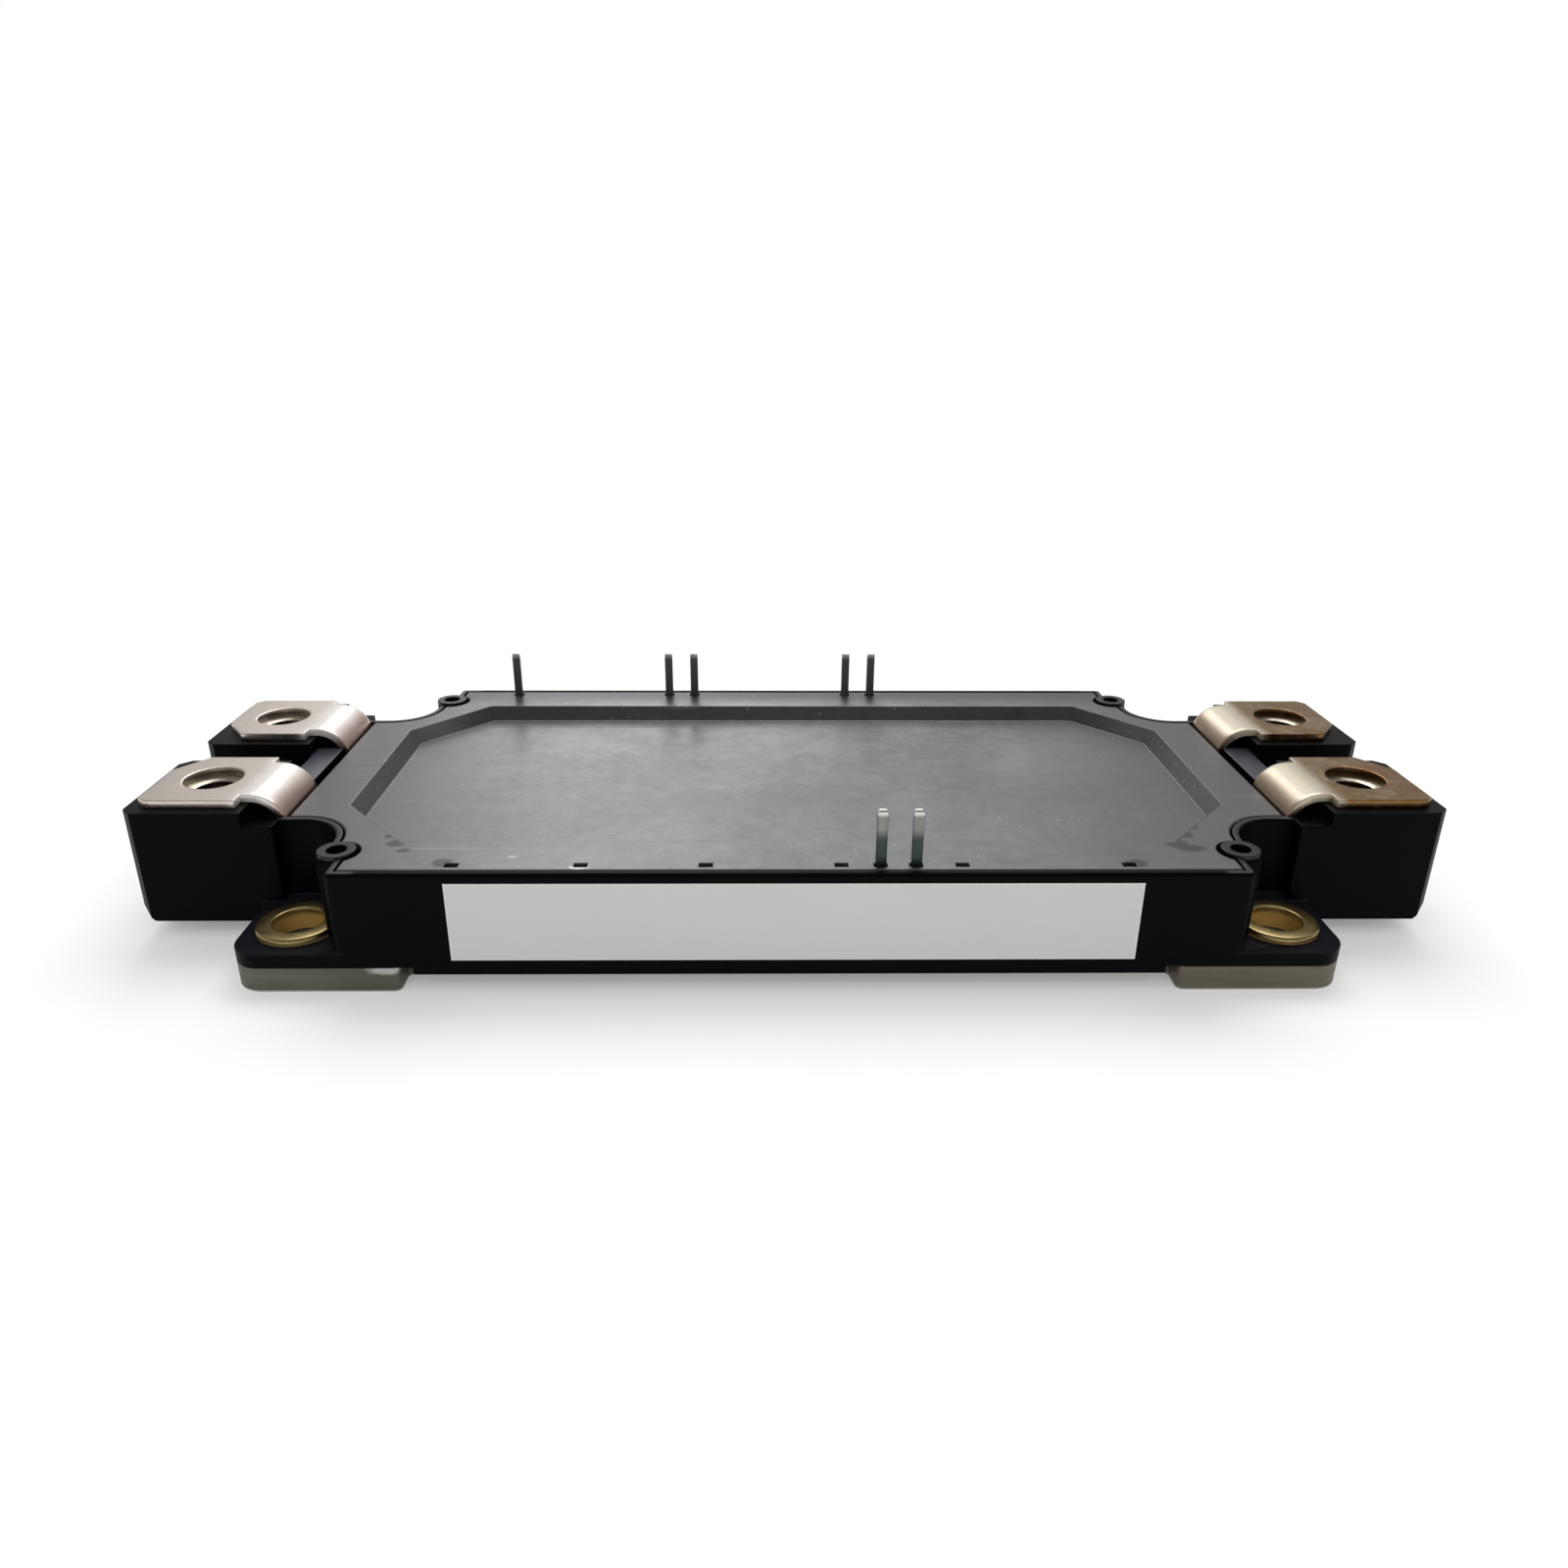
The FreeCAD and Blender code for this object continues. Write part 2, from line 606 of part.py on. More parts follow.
def case_frame():
    """Black moulded frame, one piece with its ears, terminal blocks and board posts."""
    body = new_body("case_frame")
    case_frame_walls(body)
    case_blocks(body)
    case_rooms(body)
    case_posts(body)
    case_slots(body)
    case_nut_pockets(body)
    recess = new_sketch(body, "label_recess", "XZ_Plane", plate_side)
    add_rectangle(recess, S.label_left, label_low, S.label_left + S.label_length, label_low + S.label_high)
    pocket(body, "label_recess_cut", recess, S.label_thick)
    return body


def lid():
    """Flat lid, flush with the rim, dished in the middle and notched round the board posts."""
    body = new_body("lid")
    outline = new_sketch(body, "outline", level=lid_bottom)
    add_polygon(outline, lid_outline(S.fit * 0))
    pad(body, "plate", outline, S.lid_thick)
    dress(body, "Fillet", "corner_rounds", S.pocket_round + S.rim,
          upright_at((pocket_x - S.rim, pocket_y - S.rim)))
    dress(body, "Chamfer", "top_bevel", S.lid_edge, lambda edge: near(edge.CenterOfMass.z, case_top.value))
    notches = new_sketch(body, "post_notches", level=case_top)
    for x, y in post_places:
        add_circle(notches, x, y, post_radius + S.post_notch)
    pocket(body, "post_notches_cut", notches, S.lid_thick)
    under = new_sketch(body, "underside", level=case_top - S.dish_depth - S.dish_floor)
    add_polygon(under, dish_outline())
    pad(body, "underside_pad", under, S.dish_depth + S.dish_floor - S.lid_thick)
    dish = new_sketch(body, "dish", level=case_top)
    add_polygon(dish, dish_outline())
    pocket(body, "dish_cut", dish, S.dish_depth, taper=-S.dish_slope)
    slots = new_sketch(body, "pin_openings", level=case_top)
    half_wide = S.pin_wide / 2 + S.slot_play
    half_thick = S.pin_thick / 2 + S.slot_play
    add_slots(slots, BACK_PINS, pin_row, half_wide, half_thick)
    add_slots(slots, FRONT_PINS + EMPTY_SLOTS, -pin_row, half_wide, half_thick)
    pocket(body, "pin_openings_cut", slots, S.lid_thick)
    return body


def mounting_bushing(number, x, y):
    """Turned brass bushing: a sleeve through the ear and a flange on top of it."""
    body = new_body(f"bushing_{number}")
    profile = new_sketch(body, "profile", "XZ_Plane")
    bore = S.mount_bore / 2
    sleeve = S.bushing_sleeve / 2
    flange = S.bushing_flange / 2
    step = S.ear_thick
    top = step + S.flange_thick
    add_polygon(profile, [(bore, step * 0), (sleeve, step * 0), (sleeve, step),
                          (flange, step), (flange, top), (bore, top)])
    turned = body.newObject("PartDesign::Revolution", f"{body.Name}_turned")
    turned.Profile = profile
    turned.ReferenceAxis = (profile, ["V_Axis"])
    turned.Angle = 360
    place(body, x, y, S.plate_thick)
    return body


def power_terminal(label, side_x, side_y):
    """Folded copper strip: foot on the inner ledge, riser in the wall, screw pad outside."""
    body = new_body(label)
    profile = new_sketch(body, "profile", "XZ_Plane")
    foot_top = ledge + S.strip_thick
    add_polygon(profile, [
        (foot_reach, ledge), (strip_outer, ledge), (strip_outer, seat_top), (pad_reach, seat_top),
        (pad_reach, pad_top), (strip_inner, pad_top), (strip_inner, foot_top), (foot_reach, foot_top)])
    pad(body, "strip", profile, S.pad_width, side="Symmetric")

    def fold_at(*places):
        def wanted(edge):
            middle = edge.CenterOfMass
            return straight(edge, Vector(0, 1, 0)) and any(
                near(middle.x, x.value) and near(middle.z, z.value) for x, z in places)
        return wanted

    dress(body, "Fillet", "pad_fold_inside", S.strip_bend, fold_at((strip_outer, seat_top)))
    dress(body, "Fillet", "pad_fold_outside", S.strip_bend + S.strip_thick, fold_at((strip_inner, pad_top)))
    dress(body, "Fillet", "foot_fold_inside", S.foot_bend, fold_at((strip_inner, foot_top)))
    dress(body, "Fillet", "foot_fold_outside", S.foot_bend + S.strip_thick, fold_at((strip_outer, ledge)))

    plan = new_sketch(body, "plan", level=pad_top)
    half = S.pad_width / 2
    beyond = half + S.overrun
    neck = S.strip_neck / 2
    for sy in SIDES:
        add_rectangle(plan, foot_reach - S.overrun, neck * sy, pad_start, beyond * sy)
    # The pad's corner towards the module's middle line carries the large bevel
    inward = -side_x * side_y
    for hand, bevel_x, bevel_y in ((inward, S.pad_bevel_x, S.pad_bevel_y), (-inward, S.pad_nick, S.pad_nick)):
        start = pad_reach - bevel_x
        end = pad_reach + S.overrun
        slope = bevel_y / bevel_x
        add_polygon(plan, [(start, half * hand), (end, (half - bevel_y - slope * S.overrun) * hand),
                           (end, beyond * hand), (start, beyond * hand)])
    add_circle(plan, terminal_x, half * 0, S.pad_hole / 2)
    pocket(body, "plan_cut", plan, pad_top)
    place(body, y=terminal_y * side_y, turned=side_x < 0)
    return body


def terminal_nuts():
    """Four loose-fitted hexagon nuts under the terminal pads, one group."""
    nuts = []
    for number, (x, y) in enumerate(terminal_places, 1):
        blank = doc.addObject("Part::Prism", f"nut_blank_{number}")
        blank.Polygon = 6
        bind(blank, Circumradius=S.nut_flats / math.sqrt(3), Height=S.nut_high)
        bore = doc.addObject("Part::Cylinder", f"nut_bore_{number}")
        bind(bore, Radius=S.nut_bore / 2, Height=S.nut_high)
        for item in (blank, bore):
            place(item, x, y, seat_top - S.nut_high)
        nut = doc.addObject("Part::Cut", f"nut_{number}")
        nut.Base = blank
        nut.Tool = bore
        nuts.append(nut)
    return group("terminal_nuts", nuts)


def group(label, members):
    """Several separate solids that share one node."""
    item = doc.addObject("Part::Compound", label)
    item.Label = label
    item.Links = members
    doc.recompute()
    return item


def signal_pin(label, step, side_y):
    """Flat pin with a foot on the inner ledge, upright through wall and lid."""
    body = new_body(label)
    profile = new_sketch(body, "profile", "YZ_Plane")
    half = S.pin_thick / 2
    foot_top = ledge + S.pin_thick
    add_polygon(profile, [(-S.pin_foot, ledge), (half, ledge), (half, pin_tip),
                          (-half, pin_tip), (-half, foot_top), (-S.pin_foot, foot_top)])
    pad(body, "pin", profile, S.pin_wide, side="Symmetric")
    dress(body, "Fillet", "heel", S.pin_thick,
          lambda edge: straight(edge, Vector(1, 0, 0)) and near(edge.CenterOfMass.z, ledge.value)
          and near(edge.CenterOfMass.y, half.value))
    dress(body, "Chamfer", "tip", S.pin_point, lambda edge: near(edge.CenterOfMass.z, pin_tip.value))
    place(body, S.pin_grid * step, pin_row * side_y, turned=side_y < 0)
    return body


def box(label, x0, y0, z0, length, width, height):
    """A plain block from its lower left front corner."""
    item = doc.addObject("Part::Box", label)
    item.Label = label
    bind(item, Length=length, Width=width, Height=height)
    place(item, x0, y0, z0)
    return item


def label_plate():
    """Blank label let into the front wall."""
    return box("label", S.label_left, -plate_side, label_low, S.label_length, S.label_thick, S.label_high)


tile_bottom = S.plate_thick + S.copper_thick
tile_top = tile_bottom + S.tile_thick
track_top = tile_top + S.copper_thick
chip_top = track_top + S.chip_thick
track_length = tile_length - S.copper_border * 2
track_reach = tile_width / 2 - S.copper_border
track_start = S.bus_width / 2 + S.track_gap
track_width = track_reach - track_start
track_middle = track_start + track_width / 2
chip_row = S.switch_side + S.chip_gap + S.diode_length


def tile_middle(number):
    """X of the middle of tile 1, 2 or 3."""
    return tile_pitch * (number - 2)


def ceramic_tile(number):
    middle = tile_middle(number)
    return box(f"ceramic_tile_{number}", middle - tile_length / 2, -tile_width / 2, tile_bottom,
               tile_length, tile_width, S.tile_thick)


def copper_tracks(number):
    """Foil under a tile, and on top of it two wide tracks and the narrow one between them."""
    left = tile_middle(number) - track_length / 2
    foil = box(f"foil_{number}", left, -track_reach, S.plate_thick, track_length, track_reach * 2,
               S.copper_thick)
    back = box(f"track_back_{number}", left, track_start, tile_top, track_length, track_width, S.copper_thick)
    front = box(f"track_front_{number}", left, -track_reach, tile_top, track_length, track_width,
                S.copper_thick)
    bus = box(f"track_bus_{number}", left, -S.bus_width / 2, tile_top, track_length, S.bus_width,
              S.copper_thick)
    return group(f"copper_tracks_{number}", [foil, back, front, bus])


def chips(label, offset, length):
    """One chip of a kind on each wide track of each tile."""
    members = []
    for number in TILES:
        for side in SIDES:
            members.append(box(
                f"{label}_{number}_{'front' if side < 0 else 'back'}",
                tile_middle(number) - chip_row / 2 + offset, track_middle * side - S.switch_side / 2,
                track_top, length, S.switch_side, S.chip_thick))
    return group(label, members)


def temperature_sensor():
    """Small sensor block on the narrow track of the first tile."""
    return box("temperature_sensor", tile_middle(1) - track_length / 2 + S.wire_step, -S.sensor_width / 2,
               track_top, S.sensor_length, S.sensor_width, S.sensor_high)


def wire_solid(start, end):
    """One bond wire: bonded flats at both ends and a loop between them."""
    run = Vector(end.x - start.x, end.y - start.y, 0)
    along = Vector(run).normalize()
    across = Vector(-along.y, along.x, 0) * (S.wire.value / 2)
    peak = max(start.z, end.z) + S.wire_rise.value
    flat = S.wire_flat.value
    under = [start, start + along * flat, start + run * 0.5, end - along * flat, end]
    under[2] = Vector(under[2].x, under[2].y, peak)
    lift = Vector(0, 0, S.wire.value)
    outline = under + [point + lift for point in reversed(under)]
    face = Part.Face(Part.makePolygon([point - across for point in outline + outline[:1]]))
    return face.extrude(across * 2)


def wire_node(label, runs):
    """A node of separate wires; each run gives a start, an end, a count and a spread direction."""
    solids = []
    for start, end, count, spread in runs:
        for index in range(count):
            shift = spread * (S.wire_step.value * (index - (count - 1) / 2))
            solids.append(wire_solid(start + shift, end + shift))
    item = doc.addObject("Part::Feature", label)
    item.Label = label
    item.Shape = Part.makeCompound(solids)
    return item


def chip_wires():
    """Wires from the top of each chip to the narrow middle track."""
    runs = []
    spread = Vector(1, 0, 0)
    bus_edge = S.bus_width.value / 2 - S.wire_flat.value
    for number in TILES:
        left = tile_middle(number).value - chip_row.value / 2
        switch_x = left + S.switch_side.value / 2
        diode_x = left + S.switch_side.value + S.chip_gap.value + S.diode_length.value / 2
        for side in SIDES:
            start_y = (track_middle.value - S.switch_side.value / 4) * side
            for x, count in ((switch_x, SWITCH_WIRES), (diode_x, DIODE_WIRES)):
                start = Vector(x, start_y, chip_top.value)
                end = Vector(x, bus_edge * side, track_top.value)
                runs.append((start, end, count, spread))
    return wire_node("chip_bond_wires", runs)


def link_wires():
    """Wires across the gaps between tiles and from the outer tiles to the terminal feet."""
    runs = []
    spread = Vector(0, 1, 0)
    inset = S.wire_inset.value
    half = (tile_pitch.value - track_length.value) / 2 + inset
    edge = tile_pitch.value + track_length.value / 2
    foot_top = ledge.value + S.strip_thick.value
    for sx in SIDES:
        middle = tile_pitch.value / 2 * sx
        for sy in SIDES:
            y = track_middle.value * sy
            start = Vector(middle - half, y, track_top.value)
            runs.append((start, Vector(middle + half, y, track_top.value), LINK_WIRES, spread))
            y = terminal_y.value * sy
            start = Vector((edge - inset) * sx, y, track_top.value)
            end = Vector((foot_reach.value + inset) * sx, y, foot_top)
            runs.append((start, end, FOOT_WIRES, spread))
    return wire_node("terminal_bond_wires", runs)


def pin_wires():
    """One wire from the foot of each signal pin to the nearest track."""
    runs = []
    inset = S.wire_inset.value
    half = track_length.value / 2 - inset

    def nearest_landing(x):
        landings = [min(max(x, tile_middle(number).value - half), tile_middle(number).value + half)
                    for number in TILES]
        return min(landings, key=lambda landing: abs(landing - x))

    foot_top = ledge.value + S.pin_thick.value
    for steps, side in ((BACK_PINS, 1), (FRONT_PINS, -1)):
        for step in steps:
            x = S.pin_grid.value * step
            start = Vector(x, (pin_row.value - S.pin_foot.value + inset) * side, foot_top)
            end = Vector(nearest_landing(x), (track_reach.value - inset) * side, track_top.value)
            runs.append((start, end, 1, Vector(1, 0, 0)))
    return wire_node("signal_bond_wires", runs)


def gel_filling(inner):
    """Soft gel poured over the tiles up to its level, round everything that it covers."""
    def slab(corners, low, high):
        points = [Vector(x.value, y.value, low.value) for x, y in corners]
        return Part.Face(Part.makePolygon(points + points[:1])).extrude(Vector(0, 0, high.value - low.value))

    well = slab(mirrored_outline([(well_x, well_y)]), S.plate_thick, ledge)
    room = slab(room_outline(), ledge, gel_top)
    item = doc.addObject("Part::Feature", "gel_filling")
    item.Label = "gel_filling"
    filled = well.fuse(room).cut([piece.Shape for piece in inner])
    item.Shape = filled.removeSplitter()
    return item


def build():
    """All pieces of the module, in the order of assembly."""
    names = {-1: "left", 1: "right"}
    rows = {-1: "front", 1: "back"}
    plate = base_plate()
    case = case_frame()
    bushings = [mounting_bushing(number, x, y) for number, (x, y) in enumerate(mount_places, 1)]
    outside = [lid(), label_plate(), terminal_nuts(), group("mounting_bushings", bushings)]
    inner = []
    for sx in SIDES:
        for sy in SIDES:
            inner.append(power_terminal(f"power_terminal_{rows[sy]}_{names[sx]}", sx, sy))
    for steps, sy in ((BACK_PINS, 1), (FRONT_PINS, -1)):
        for number, step in enumerate(steps, 1):
            inner.append(signal_pin(f"signal_pin_{rows[sy]}_{number}", step, sy))
    for number in TILES:
        inner.append(ceramic_tile(number))
        inner.append(copper_tracks(number))
    doc.recompute()
    inner.append(chips("switch_chips", S.chip_gap * 0, S.switch_side))
    inner.append(chips("diode_chips", S.switch_side + S.chip_gap, S.diode_length))
    inner.append(temperature_sensor())
    doc.recompute()
    inner.extend([chip_wires(), link_wires(), pin_wires()])
    gel = gel_filling(inner)
    doc.recompute()
    return [plate, case] + outside + inner + [gel]


def write(pieces):
    """Check every object, then write one file for each piece."""
    for item in doc.Objects:
        if "Invalid" in item.State or "Error" in item.State:
            raise RuntimeError(f"{item.Name} failed: {item.State}")
    for piece in pieces:
        if piece.Shape.isNull() or not piece.Shape.isValid():
            raise RuntimeError(f"{piece.Label} has no valid shape")
    os.makedirs("parts", exist_ok=True)
    for piece in pieces:
        piece.Shape.exportStep(f"parts/{piece.Label}.step")


write(build())
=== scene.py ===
"""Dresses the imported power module: rounded mouldings, turned and folded metal, finishes and stage.

It is laid out as an add-on and runs as a script. Lengths are metres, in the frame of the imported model.
"""
import json
import math

import bmesh
import bpy
from bpy.props import FloatProperty, FloatVectorProperty, IntProperty, PointerProperty
from mathutils import Matrix, Vector


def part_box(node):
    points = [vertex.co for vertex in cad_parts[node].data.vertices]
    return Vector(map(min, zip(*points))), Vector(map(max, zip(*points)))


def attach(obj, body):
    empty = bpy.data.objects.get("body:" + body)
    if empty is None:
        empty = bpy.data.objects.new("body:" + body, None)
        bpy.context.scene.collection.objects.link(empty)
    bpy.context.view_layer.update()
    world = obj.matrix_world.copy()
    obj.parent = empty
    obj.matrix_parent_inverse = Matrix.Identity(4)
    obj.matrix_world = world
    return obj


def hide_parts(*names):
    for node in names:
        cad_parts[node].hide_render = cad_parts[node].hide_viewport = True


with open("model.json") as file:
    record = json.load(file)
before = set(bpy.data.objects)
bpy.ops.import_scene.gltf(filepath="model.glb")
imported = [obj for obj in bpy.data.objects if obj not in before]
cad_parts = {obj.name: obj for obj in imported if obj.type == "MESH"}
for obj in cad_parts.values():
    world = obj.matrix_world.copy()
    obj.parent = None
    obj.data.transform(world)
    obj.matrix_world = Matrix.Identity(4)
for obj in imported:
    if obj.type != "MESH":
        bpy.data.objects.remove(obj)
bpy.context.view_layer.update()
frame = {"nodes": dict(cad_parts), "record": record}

bl_info = {
    "name": "Power Module Dresser",
    "version": (1, 0, 0),
    "blender": (4, 5, 0),
    "location": "3D View > Sidebar > Power Module",
    "description": "Builds the finished look of a power module around its packed model",
    "category": "Object",
}

BODY = "root"
MILLI = 0.001

# Meshes: vertices that lie closer are one, and so are faces that differ less in angle; sharper edges are
# rounded, or stay sharp in the shading of turned pieces
SAME_VERTEX = 2e-6
SAME_PLACE = 1e-7
SAME_FACE_ANGLE = 0.002
MOULDED_ANGLE = math.radians(38)
STAMPED_ANGLE = math.radians(50)
TURNED_ANGLE = math.radians(40)
EVEN_NORMALS = ("WEIGHTED_NORMAL", {"weight": 100})

# Turned metal: lower edges of the bushings, then the nuts' end faces, bevels and mouths
SLEEVE_ROUNDING = 0.0001
FLANGE_ROUNDING = 0.00015
CORNER_STEPS = 6
NUT_FACE_SHARE = 0.98
NUT_BEVEL = 0.0004
NUT_MOUTH = 0.0005
NUT_MOUTH_FLARE = 0.00025
# One groove of the nuts' thread, from its root to its crest: how far above its middle, in pitches
GROOVE = (("root", -0.06), ("root", 0.06), ("bore", 0.44), ("bore", 0.5))

# Folded strips: gap to the lid, cross sections in each fold, and points and rings of the pad
STRIP_GAP = 0.00026
FOOT_STEPS = 6
FOLD_STEPS = 16
PAD_STEP = 0.0009
PAD_RINGS = (0.0, 0.12, 0.5, 1.0)

# Where the strip's painted highlight and painted shade change, in metres along it from the end of its foot
RISER_RUN = (0.0186, 0.0158)
PAD_RUN = (0.0199, 0.0222)

# Soft borders in the finishes, each one from its start to its end: heights, or distances from the middle,
# and the values at both ends where they aren't 0 and 1
LEVEL_BORDER = (0.0002, 0.0001)
# Case: webs between the blocks, ears, rims, and the seats of the pads
WEB_LEVEL = 0.0143
WEB_ALONG = ((0.0589, 0.0592), (0.0624, 0.0622))
WEB_ACROSS = (0.006, 0.0057)
EAR_LEVEL = 0.0047
EAR_ALONG = ((0.0475, 0.049), (0.0618, 0.0612))
RIM_HEIGHT = ((0.01415, 0.01428), (0.01478, 0.01466))
RIM_ALONG = ((0.0455, 0.0465), (0.0592, 0.0586))
SEAT_HEIGHT = (0.01585, 0.01597)
# Lid: walls of its dish, and the rubbed part of its skin
DISH_WALL = ((0.01252, 0.01262), (0.01429, 0.01419))
LID_BACK = (0.0285, 0.0225)
LID_FRONT = (-0.008, 0.018, 0.62, 0.95)
LID_MIDDLE = -0.003
LID_ENDS = (0.055, 0.028)
# Plate, bushings, nuts, pins and label
PLATE_UNDERSIDE = (0.0001, 0.00035)
PLATE_RIGHT = (-0.02, 0.06)
BUSHING_BORE = (0.0053, 0.0045)
NUT_BORE_SHADE = (0.0157, 0.0146)
FRONT_PIN_SIDE = (0.0188, 0.0172)
PIN_TIP = (0.0199, 0.0205)
LABEL_MARGINS = {"X": 0.0005, "Z": 0.0004}
RIGHT_HALF = (-0.001, 0.001)
FRONT_HALF = (0.001, -0.001)

# Dark smudges on the lid's border: X, Y, radius, stretch along X
SMUDGES = ((0.0461, -0.0192, 0.0009, 1.0), (0.0446, -0.0212, 0.0012, 1.0), (0.0429, -0.0235, 0.0015, 1.0),
           (0.0442, -0.0248, 0.0011, 0.6), (0.0371, -0.0284, 0.0011, 0.8), (0.0345, 0.0215, 0.0018, 0.6),
           (-0.0449, -0.0216, 0.0006, 1.0), (-0.0436, -0.0234, 0.001, 0.8),
           (-0.0423, -0.0252, 0.0007, 0.8), (-0.0373, -0.0282, 0.0012, 0.8))
# Painted glints, white highlights on the lid's border: X, Y, stretch along X, soft border, strength
PAINTED_GLINTS = ((-0.0226, -0.0293, 0.4, (0.0005, 0.0003), 0.7), (-0.0301, -0.0268, 0.6, (0.0005, 0.0001), 0.25))
# A painted glint on the plate's front edge: place and stretch
PLATE_GLINT_SPOT = ((-0.0437, -0.031, 0.0027), (0.3, 0.3, 1))

# Finishes that cover CAD nodes, by the record's slots
COVERED = {"case_plastic": "moulded_case", "lid_plastic": "moulded_lid", "nickel_plate": "nickel_plating",
           "bushing_brass": "turned_brass", "nut_steel": "nut_plating", "label_foil": "label_film",
           "terminal_plating": "terminal_plating", "pin_plating": "pin_tin"}
# Finishes under the lid, by slot: name, colour, its spread, size of blotches, roughness, depth of the
# relief and the surface's constants
METAL = {"Metallic": 1.0}
GEL = {"Transmission_Weight": 0.6, "IOR": 1.41}
INNER = {"tile_ceramic": ("tile_ceramic", (0.86, 0.86, 0.83), 0.06, 0.004, 0.4, 0.000006, {}),
         "track_copper": ("track_copper", (0.78, 0.42, 0.27), 0.18, 0.003, 0.26, 0.00001, METAL),
         "chip_silicon": ("chip_metal", (0.62, 0.62, 0.6), 0.12, 0.002, 0.3, 0.000006, METAL),
         "sensor_ceramic": ("sensor_glaze", (0.1, 0.22, 0.14), 0.15, 0.001, 0.3, 0.000005, {}),
         "wire_aluminium": ("wire_aluminium", (0.85, 0.85, 0.84), 0.08, 0.001, 0.25, 0.000004, METAL),
         "soft_gel": ("soft_gel", (0.8, 0.83, 0.83), 0.05, 0.01, 0.1, 0.00002, GEL)}

# Stage: the floor and how it goes to white, then the sky's bright part in reflections, by direction
FLOOR_REACH = 2.5
FLOOR_LEVEL = -0.00005
FLOOR_WHITE = (0.15, 0.6, 0.22, 1.0)
SKY_BACK = (-0.35, 0.35)
SKY_TOP = (0.85, 0.5)
SKY_LOW = (0.0, 0.36, 0.4, 1.0)
SKY_CENTRE = -0.03
SKY_SIDES = (0.08, 0.5, 1.0, 0.36)
# Each lamp: place, size, colour, whether it is seen in reflections
LAMPS = {"key": ((0.05, 0.5, 0.8), (0.9, 0.6), (1, 0.99, 0.97), True),
         "sheen": ((-0.17, 1.1, 0.56), (0.35, 0.4), (0.93, 0.96, 1), True),
         "front": ((0, -0.9, 0.7), (1, 0.8), (1, 1, 1), False)}
# The nearest and the farthest that the camera sees
CAMERA_CLIP = (0.005, 50.0)


# Settings

def length(name, description, default):
    """A length property in metres."""
    return FloatProperty(name=name, description=description, default=default, min=0.0, precision=5,
                         subtype="DISTANCE", unit="LENGTH")


def share(name, description, default):
    """A property from 0 to 1."""
    return FloatProperty(name=name, description=description, default=default, min=0.0, max=1.0,
                         subtype="FACTOR")


def colour(name, what, default):
    """A colour property."""
    return FloatVectorProperty(name=name, description="Colour of " + what, default=default, size=3,
                               min=0.0, max=1.0, subtype="COLOR")


def faces_round(default):
    """How many faces a turned piece has round its axis."""
    return IntProperty(name="Steps", description="Faces round the axis", default=default, min=12)


def angle(name, description, degrees):
    """An angle property with its default in degrees."""
    return FloatProperty(name=name, description=description, default=math.radians(degrees),
                         subtype="ANGLE", unit="ROTATION")


def power(name, description, default):
    """A lamp's power in watts."""
    return FloatProperty(name=name, description=description, default=default, min=0.0, unit="POWER")


class MouldingSettings(bpy.types.PropertyGroup):
    edge: length("Edge rounding", "Rounding of the moulded edges", 0.00012)
    case: colour("Case", "the moulded case", (0.0011, 0.0015, 0.0019))
    # Colour of a painted bluish sheen on the webs between the terminal blocks
    web_sheen: colour("Webs", "the case between its terminal blocks", (0.07, 0.072, 0.095))
    # Colour of a painted sheen on the ears' top faces
    ear: colour("Ears", "the case's dusty ears", (0.016, 0.017, 0.022))
    lid: colour("Lid", "the lid", (0.023, 0.0235, 0.029))
    dust: colour("Dust", "dust and scratches on the lid", (0.24, 0.24, 0.25))
    # Colour of the painted glints, small white highlights on the lid's border
    speck: colour("Specks", "the white specks on the lid", (0.9, 0.9, 0.9))
    case_roughness: share("Case roughness", "Roughness of the case", 0.42)
    lid_roughness: share("Lid roughness", "Roughness of the lid", 0.43)


class PlateSettings(bpy.types.PropertyGroup):
    edge: length("Edge rounding", "Rounding of the plate's edges", 0.00015)
    nickel: colour("Nickel", "the nickel plating", (0.5, 0.5, 0.46))
    # The edges' colours are a painted dark reflection, greenish grey and warmer on the right
    dark_edge_reflection: colour("Stained edge", "the plate's edges", (0.17, 0.185, 0.14))
    warm_edge_reflection: colour("Warm edge", "the edges on the right", (0.235, 0.205, 0.16))
    streak: colour("Streaks", "streaks and stains", (0.04, 0.045, 0.035))
    # Colour of the painted glint, a white highlight on the plate's front edge
    chip: colour("Chip", "the chipped spot", (0.85, 0.85, 0.82))


class BushingSettings(bpy.types.PropertyGroup):
    flange: length("Flange radius", "Outer radius of the flange", 0.0046)
    sleeve: length("Sleeve radius", "Outer radius of the sleeve", 0.0037)
    flange_thick: length("Flange thickness", "Height of the flange over the ear", 0.0009)
    rim: length("Rim rounding", "Rounding of the flange's upper rim", 0.00038)
    mouth: length("Mouth rounding", "Rounding of the bore's upper mouth", 0.0003)
    steps: faces_round(72)
    brass: colour("Brass", "the brass", (0.52, 0.4, 0.18))
    deep: colour("Bore", "the brass down in the bore", (0.5, 0.29, 0.06))


class NutSettings(bpy.types.PropertyGroup):
    flats: length("Across flats", "Width of the nut across its flats", 0.01)
    bore: length("Bore radius", "Radius of the thread's crests", 0.0025)
    root: length("Root radius", "Radius of the thread's grooves", 0.00296)
    pitch: length("Pitch", "Distance between two grooves of the thread", 0.001)
    steps: faces_round(60)
    steel: colour("Steel", "the nuts", (0.64, 0.59, 0.48))
    # Painted shade: the colour of the steel deep in the thread
    deep: colour("Bore", "the steel down in the thread", (0.03, 0.028, 0.025))


